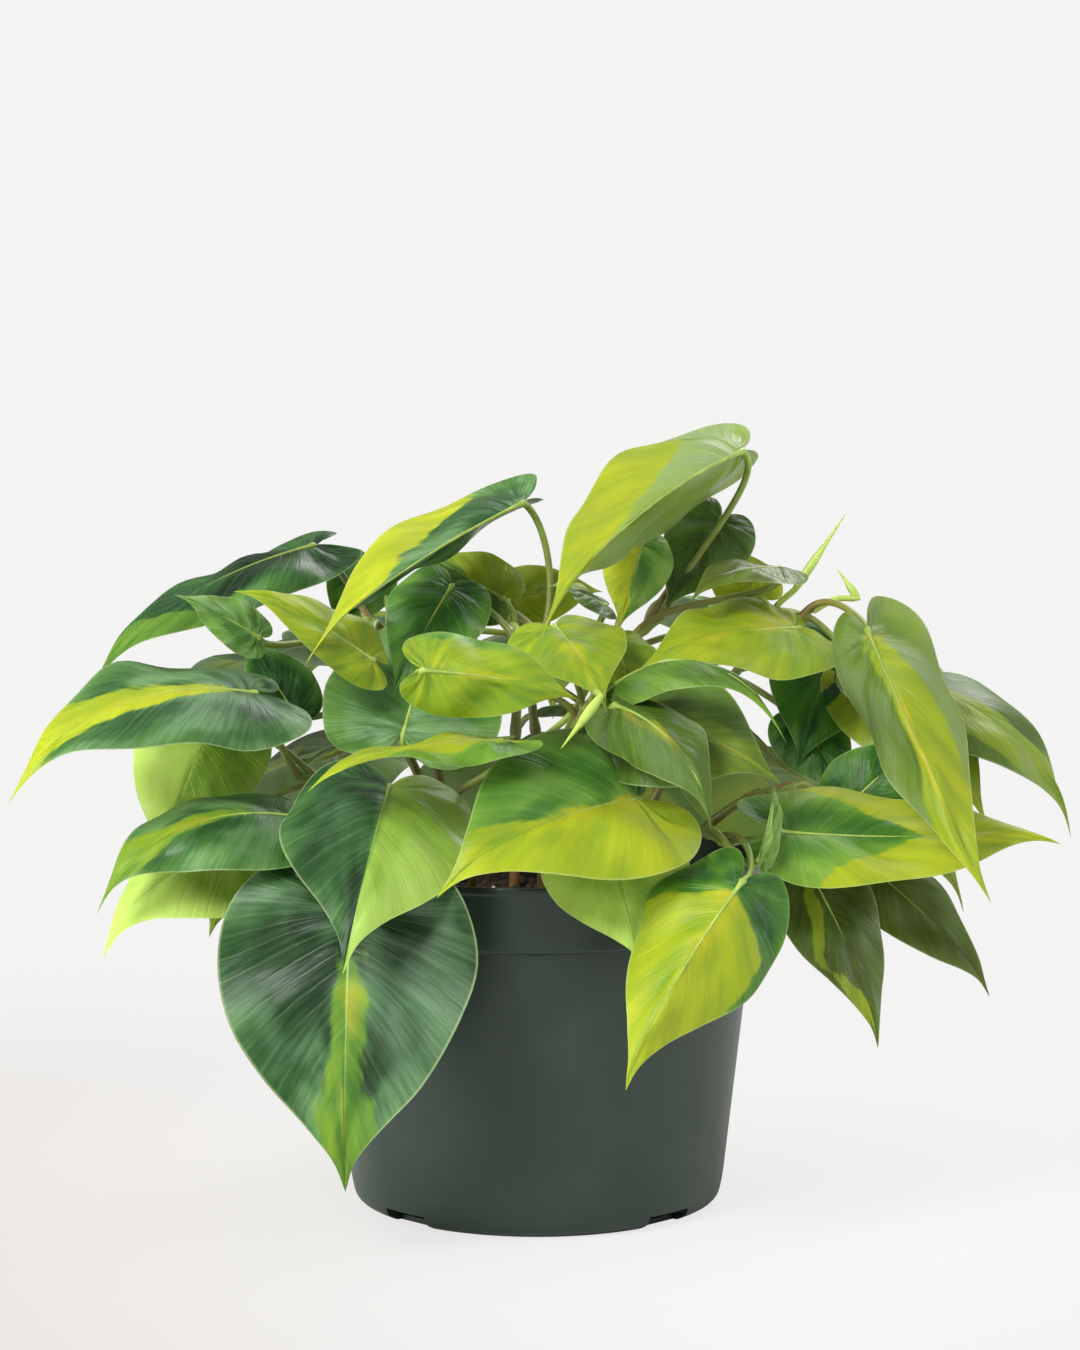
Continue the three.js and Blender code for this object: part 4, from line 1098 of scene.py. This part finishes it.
def add_shoot(lines, path, at, foot, tip, radius):
    start = stem_at(path, at)[0]
    foot, tip = np.array(foot, float), np.array(tip, float)
    middle = (start + foot) / 2 + np.array([0, 0, 2.0])
    stalk = through([start, middle, foot], 10)
    t = np.linspace(0, 1, 14)
    spike = foot + (tip - foot) * t[:, None]
    swell = radius * (0.75 + 0.5 * np.sin(math.pi * np.minimum(t * 1.6, 1))) * (1 - t**2.2) + 0.12
    lines.add(np.concatenate([stalk[:-1], spike]), np.concatenate([np.full(9, 1.1), swell]), 1.0)


# %% [markdown]
# The tubes are made now, stem by stem, like the blades, and each replaces the same node of the model.

# %% Make the stems and stalks
TUBE_SIDES = 10

stalk_triangles = 0
for stem, path, leaves in STEM_PLAN:
    lines = Lines()
    add_stem(lines, path, leaves)
    for row in leaves:
        draw = np.random.default_rng(sum(row[0].encode()) * 13)
        add_stalk(lines, path, Leaf(row), draw)
    for owner, *shoot in SHOOT_PLAN:
        if owner == stem:
            add_shoot(lines, path, *shoot)
    settings = {"Sides": TUBE_SIDES, "Material": stalk_material}
    piece = grown(lines.object("lines"), TUBE_TREE, settings, f"stalks_{stem}")
    ready(piece, "foliage", f"stem_{stem}")
    stalk_triangles += sum(len(face.vertices) - 2 for face in piece.data.polygons)
print("triangles in the stalks:", stalk_triangles)

# %% [markdown]
# The soil is a dark peat mix with lumps of bark and a few white grains of perlite. All three are matt and
# crumbly, so one function makes their materials from two colours and a roughness.

# %% Soil materials
def crumb_material(name, dark, light, rough):
    material, tree = new_material(name)
    where = node(tree, "ShaderNodeTexCoord").outputs["Object"]
    coarse = noise_on(tree, where, 140.0, 4.0)
    fine = noise_on(tree, where, 900.0, 3.0)
    colour = blended(tree, ranged(tree, coarse, 0.35, 0.65), (*dark, 1), (*light, 1))
    bump = node(tree, "ShaderNodeBump", {"Height": fine, "Strength": 0.7, "Distance": 0.0006})
    finish_material(tree, {"Base Color": colour, "Roughness": rough, "Normal": bump.outputs[0]})
    return material


peat_material = crumb_material("peat", (0.012, 0.007, 0.004), (0.05, 0.028, 0.015), 0.95)
bark_material = crumb_material("bark", (0.03, 0.014, 0.006), (0.12, 0.06, 0.028), 0.85)
perlite_material = crumb_material("perlite", (0.55, 0.53, 0.5), (0.8, 0.79, 0.76), 0.9)

# %% [markdown]
# The bed of soil could be a plain disc, but potting mix never lies level. Its surface here is a disc of
# rings of points that rise and fall gently, closed below by a plain body that fills the pot.

# %% Soil body
WALL = 1.8
SOIL_GAP = 0.5  # between the soil and the wall, all round
SOIL_TURNS = 120
SOIL_RINGS = 30
SOIL_LEVELS = (98, 12)  # heights of two rings of its side
SOIL_FLOOR = WALL + 0.1
SOIL_FLOOR_RADIUS = 56


def ring_at(radius, height, angles):
    return np.stack([radius * np.cos(angles), radius * np.sin(angles), 0 * angles + height], axis=-1)


def soil_object(inner_radius):
    rim = inner_radius(SOIL_TOP) - SOIL_GAP
    angles = np.linspace(0, 2 * math.pi, SOIL_TURNS, endpoint=False)
    radii = np.linspace(0, 1, SOIL_RINGS + 1)[1:] * rim
    radius, angle = np.meshgrid(radii, angles, indexing="ij")
    x, y = radius * np.cos(angle), radius * np.sin(angle)
    bumps = np.sin(x * 0.17 + 1) * np.cos(y * 0.14) + 0.6 * np.sin((x + y) * 0.31)
    bumps = 1.3 * bumps + 0.35 * np.sin(x * 0.9) * np.sin(y * 1.1) + 0.25 * np.sin(x * 1.7 + y * 1.3)
    z = SOIL_TOP + bumps * np.clip((rim - radius) / 8, 0, 1)
    top = np.stack([x, y, z], axis=-1).reshape(-1, 3)
    levels = [(z, inner_radius(z)) for z in SOIL_LEVELS] + [(SOIL_FLOOR, SOIL_FLOOR_RADIUS)]
    skirts = [ring_at(r - SOIL_GAP, z, angles) for z, r in levels]
    centre = [[0, 0, SOIL_TOP + 1.1], [0, 0, SOIL_FLOOR]]
    points = np.concatenate([top, *skirts, centre]) * MM
    rings = SOIL_RINGS + len(levels)
    faces = []
    for ring in range(rings - 1):
        for k in range(SOIL_TURNS):
            after = (k + 1) % SOIL_TURNS
            a, b = ring * SOIL_TURNS + k, ring * SOIL_TURNS + after
            faces.append((a, a + SOIL_TURNS, b + SOIL_TURNS, b))
    for k in range(SOIL_TURNS):
        after = (k + 1) % SOIL_TURNS
        last = (rings - 1) * SOIL_TURNS
        faces.append((len(points) - 2, k, after))
        faces.append((len(points) - 1, last + after, last + k))
    mesh = bpy.data.meshes.new("soil_bed")
    mesh.from_pydata(points, [], faces)
    mesh.materials.append(peat_material)
    return bpy.data.objects.new("soil_bed", mesh)


# %% [markdown]
# The crumbs are scattered by Geometry Nodes over the upward faces of the bed. Each crumb is a low ball of
# twenty faces, squashed and turned at random, because nobody looks at one alone. The tree takes how many
# lie on a square metre, the smallest and the largest radius and a seed, so it serves peat, bark and
# perlite alike.

# %% Crumb tree
CRUMB_TREE, given, result = geometry_tree(
    "crumbs on a surface",
    [
        ("Density", "NodeSocketFloat", 1000.0),
        ("Smallest", "NodeSocketFloat", 0.001),
        ("Largest", "NodeSocketFloat", 0.003),
        ("Seed", "NodeSocketInt", 1),
        ("Material", "NodeSocketMaterial", None),
    ],
)
normal = node(CRUMB_TREE, "GeometryNodeInputNormal").outputs[0]
rise = node(CRUMB_TREE, "ShaderNodeSeparateXYZ", {"Vector": normal}).outputs["Z"]
upward = node(CRUMB_TREE, "FunctionNodeCompare", {"A": rise, "B": 0.5}, operation="GREATER_THAN")
spots = node(CRUMB_TREE, "GeometryNodeDistributePointsOnFaces", {
    "Mesh": given.outputs["Geometry"], "Selection": upward.outputs[0],
    "Density": given.outputs["Density"], "Seed": given.outputs["Seed"]})
ball = node(CRUMB_TREE, "GeometryNodeMeshIcoSphere", {"Radius": 1.0, "Subdivisions": 1})
turn = node(CRUMB_TREE, "FunctionNodeRandomValue", data_type="FLOAT_VECTOR")
turn.inputs["Max"].default_value = (2 * math.pi,) * 3
size = node(CRUMB_TREE, "FunctionNodeRandomValue", data_type="FLOAT")
CRUMB_TREE.links.new(given.outputs["Smallest"], size.inputs[2])
CRUMB_TREE.links.new(given.outputs["Largest"], size.inputs[3])
squash = node(CRUMB_TREE, "FunctionNodeRandomValue", data_type="FLOAT_VECTOR")
squash.inputs["Min"].default_value = (0.6, 0.5, 0.4)
squash.inputs["Max"].default_value = (1.2, 1.0, 0.8)
scale = node(CRUMB_TREE, "ShaderNodeVectorMath", operation="SCALE")
CRUMB_TREE.links.new(squash.outputs[0], scale.inputs[0])
CRUMB_TREE.links.new(size.outputs[1], scale.inputs["Scale"])
for salt, random in enumerate((turn, size, squash)):
    shifted = sum_of(CRUMB_TREE, "ADD", given.outputs["Seed"], 10.0 * salt)
    CRUMB_TREE.links.new(shifted, random.inputs["Seed"])
crumbs = node(CRUMB_TREE, "GeometryNodeInstanceOnPoints", {
    "Points": spots.outputs["Points"], "Instance": ball.outputs["Mesh"],
    "Rotation": turn.outputs[0], "Scale": scale.outputs[0]})
whole = node(CRUMB_TREE, "GeometryNodeRealizeInstances", {"Geometry": crumbs.outputs[0]})
painted = node(CRUMB_TREE, "GeometryNodeSetMaterial", {
    "Geometry": whole.outputs[0], "Material": given.outputs["Material"]})
CRUMB_TREE.links.new(painted.outputs[0], result.inputs["Geometry"])

# %% [markdown]
# The pot is injection-moulded: thin walls, a flared band below the rim, a small radius on every edge, and
# four notches in the foot that let water out. Its shape is one profile turned about the axis. The notches
# are cut by a Boolean with four boxes, which is simpler than modelling round them.

# %% Pot profile
POT_HEIGHT = 123
RIM_RADIUS = 80
COLLAR_BOTTOM = 100
COLLAR_RADIUS = 78
WALL_TOP_RADIUS = 76
WALL_FOOT_RADIUS = 65.6
FOOT_RADIUS = 59.5
FOOT_TURN = 9
POT_TURNS = 192
NOTCH_ANGLES = (45, 135, 225, 315)
NOTCH_WIDTH = 19
NOTCH_HEIGHT = 5
NOTCH_INNER = 57


def inner_radius(z):
    """Inner radius of the pot at a height above its foot."""
    if z >= COLLAR_BOTTOM + WALL:
        share = (z - COLLAR_BOTTOM) / (POT_HEIGHT - COLLAR_BOTTOM)
        return COLLAR_RADIUS + (RIM_RADIUS - COLLAR_RADIUS) * share - WALL
    share = (z - FOOT_TURN) / (COLLAR_BOTTOM - FOOT_TURN)
    return WALL_FOOT_RADIUS + (WALL_TOP_RADIUS - WALL_FOOT_RADIUS) * share - WALL


def rounded(points, sizes, steps=4):
    """A polyline whose corners are rounded: sizes gives how far from each corner its bend starts."""
    points = [np.array(p, float) for p in points]
    line = [points[0]]
    for before, corner, after, size in zip(points, points[1:], points[2:], sizes[1:]):
        if size == 0:
            line.append(corner)
            continue
        reach_in = min(size, np.linalg.norm(corner - before) / 2)
        reach_out = min(size, np.linalg.norm(after - corner) / 2)
        a = corner - unit(corner - before) * reach_in
        b = corner + unit(after - corner) * reach_out
        for t in np.linspace(0, 1, steps + 1):
            line.append((1 - t) ** 2 * a + 2 * t * (1 - t) * corner + t**2 * b)
    line.append(points[-1])
    return np.array(line)


profile_rows = [
    # radius, height, how far from the corner its bend starts
    (0, 0, 0),
    (FOOT_RADIUS, 0, 0.8),
    (FOOT_RADIUS + 4.6, 2, 2.6),
    (WALL_FOOT_RADIUS, FOOT_TURN, 3),
    (WALL_TOP_RADIUS, COLLAR_BOTTOM, 0.5),
    (COLLAR_RADIUS, COLLAR_BOTTOM + 0.7, 1.1),
    (RIM_RADIUS - 0.7, POT_HEIGHT - 3, 0.4),
    (RIM_RADIUS, POT_HEIGHT - 2.2, 0.5),
    (RIM_RADIUS, POT_HEIGHT, 0.8),
    (RIM_RADIUS - WALL, POT_HEIGHT, 0.7),
    (inner_radius(COLLAR_BOTTOM + WALL), COLLAR_BOTTOM + WALL, 0.6),
    (inner_radius(COLLAR_BOTTOM), COLLAR_BOTTOM, 0.6),
    (inner_radius(FOOT_TURN), FOOT_TURN, 3),
    (FOOT_RADIUS - 1, WALL, 1.5),
    (0, WALL, 0),
]
profile = rounded([row[:2] for row in profile_rows], [row[2] for row in profile_rows])
print("points in the pot's profile:", len(profile))

# %% [markdown]
# The profile is turned in 192 steps, which looks round at any distance. The boxes for the notches start
# below the foot and reach a little past the wall, so the Boolean meets no faces that lie in one plane.

# %% Turn the pot and cut its notches
def turned(profile, turns, name):
    angles = np.linspace(0, 2 * math.pi, turns, endpoint=False)
    rings = [ring_at(r, z, angles) for r, z in profile[1:-1]]
    points = np.concatenate([*rings, [[0, 0, profile[0][1]], [0, 0, profile[-1][1]]]]) * MM
    faces = []
    for ring in range(len(rings) - 1):
        for k in range(turns):
            a, b = ring * turns + k, ring * turns + (k + 1) % turns
            faces.append((a, b, b + turns, a + turns))
    last = (len(rings) - 1) * turns
    for k in range(turns):
        after = (k + 1) % turns
        faces.append((len(points) - 2, after, k))
        faces.append((len(points) - 1, last + k, last + after))
    mesh = bpy.data.meshes.new(name)
    mesh.from_pydata(points, [], faces)
    return bpy.data.objects.new(name, mesh)


def notch_object():
    corners, faces = [], []
    outer = WALL_FOOT_RADIUS + 6
    for angle in np.radians(NOTCH_ANGLES):
        first = len(corners)
        outward = np.array([math.cos(angle), math.sin(angle), 0])
        sideways = np.array([-math.sin(angle), math.cos(angle), 0]) * NOTCH_WIDTH / 2
        for z in (-NOTCH_HEIGHT, NOTCH_HEIGHT):
            for r, side in ((NOTCH_INNER, -1), (outer, -1), (outer, 1), (NOTCH_INNER, 1)):
                corners.append(outward * r + sideways * side + np.array([0, 0, z]))
        for face in ((0, 3, 2, 1), (4, 5, 6, 7), (0, 1, 5, 4), (1, 2, 6, 5), (2, 3, 7, 6), (3, 0, 4, 7)):
            faces.append([first + k for k in face])
    mesh = bpy.data.meshes.new("notches")
    mesh.from_pydata((np.array(corners) * MM).tolist(), [], faces)
    return bpy.data.objects.new("notches", mesh)


pot_raw = turned(profile, POT_TURNS, "pot_raw")
notches = notch_object()
for piece in (pot_raw, notches):
    bpy.context.scene.collection.objects.link(piece)
cut = pot_raw.modifiers.new("notches", "BOOLEAN")
cut.object = notches
cut.operation = "DIFFERENCE"
cut.solver = "EXACT"
bpy.context.view_layer.update()
depsgraph = bpy.context.evaluated_depsgraph_get()
pot_mesh = bpy.data.meshes.new_from_object(pot_raw.evaluated_get(depsgraph), depsgraph=depsgraph)
pot_mesh.name = "nursery_pot"
for piece in (pot_raw, notches):
    bpy.data.objects.remove(piece)
pot = bpy.data.objects.new("nursery_pot", pot_mesh)

# %% [markdown]
# Moulded plastic of this kind is dark grey-green and satin. Seen closely it is not even: faint upright
# flow lines from the mould, a fine grain, and dull scuffs where pots rub in their stack. All of that
# changes the gloss more than the colour. At the sides, where the wall turns away, it mirrors the pale room,
# which the shader does by itself.

# %% Pot material
pot_material, tree = new_material("pot_plastic")
where = node(tree, "ShaderNodeTexCoord").outputs["Object"]
upright = node(tree, "ShaderNodeMapping", {"Vector": where, "Scale": (160.0, 160.0, 6.0)}).outputs[0]
flow = noise_on(tree, upright, 1.0, 3.0)
grain = noise_on(tree, where, 1500.0, 2.0)
clouds = noise_on(tree, where, 22.0, 4.0)
POT_DARK = (0.014, 0.028, 0.019, 1)
POT_LIGHT = (0.019, 0.036, 0.025, 1)
base = blended(tree, ranged(tree, clouds, 0.3, 0.7), POT_DARK, POT_LIGHT)
dust = ranged(tree, clouds, 0.55, 0.8, 0.0, 0.25)
base = blended(tree, sum_of(tree, "MULTIPLY", dust, flow), base, (0.12, 0.125, 0.115, 1))
rough = sum_of(tree, "MULTIPLY_ADD", flow, 0.12, 0.36)
rough = sum_of(tree, "MULTIPLY_ADD", dust, 0.4, rough)
height = sum_of(tree, "MULTIPLY_ADD", flow, 0.3, grain)
bump = node(tree, "ShaderNodeBump", {"Height": height, "Strength": 0.12, "Distance": 0.0004})
finish_material(tree, {
    "Base Color": base, "Roughness": rough, "Normal": bump.outputs[0], "Specular IOR Level": 0.36})

pot_mesh.materials.clear()
pot_mesh.materials.append(pot_material)
ready(pot, "pot_plastic", "pot")
pot_mesh.set_sharp_from_angle(angle=math.radians(40))

# %% [markdown]
# With the pot's inside known, the bed and its three kinds of crumbs are made. The crumbs keep flat faces,
# since broken peat has no smooth side.

# %% Make the soil and its crumbs
CRUMBS = [
    # name, crumbs for each square metre, smallest and largest radius in metres, seed, material
    ("soil_crumbs", 90000.0, 0.0008, 0.0024, 3, peat_material),
    ("soil_bark", 16000.0, 0.0012, 0.0038, 5, bark_material),
    ("soil_perlite", 6000.0, 0.0007, 0.0019, 8, perlite_material),
]
soil = soil_object(inner_radius)
ready(soil, "soil", "soil")
for name, density, smallest, largest, seed, material in CRUMBS:
    bed = bpy.data.objects.new("bed", soil.data.copy())
    bpy.context.scene.collection.objects.link(bed)
    sizes = {"Smallest": smallest, "Largest": largest}
    piece = grown(bed, CRUMB_TREE, {"Density": density, "Seed": seed, "Material": material, **sizes}, name)
    ready(piece, "soil", "soil")
    piece.data.shade_flat()
    print(name, "faces:", len(piece.data.polygons))
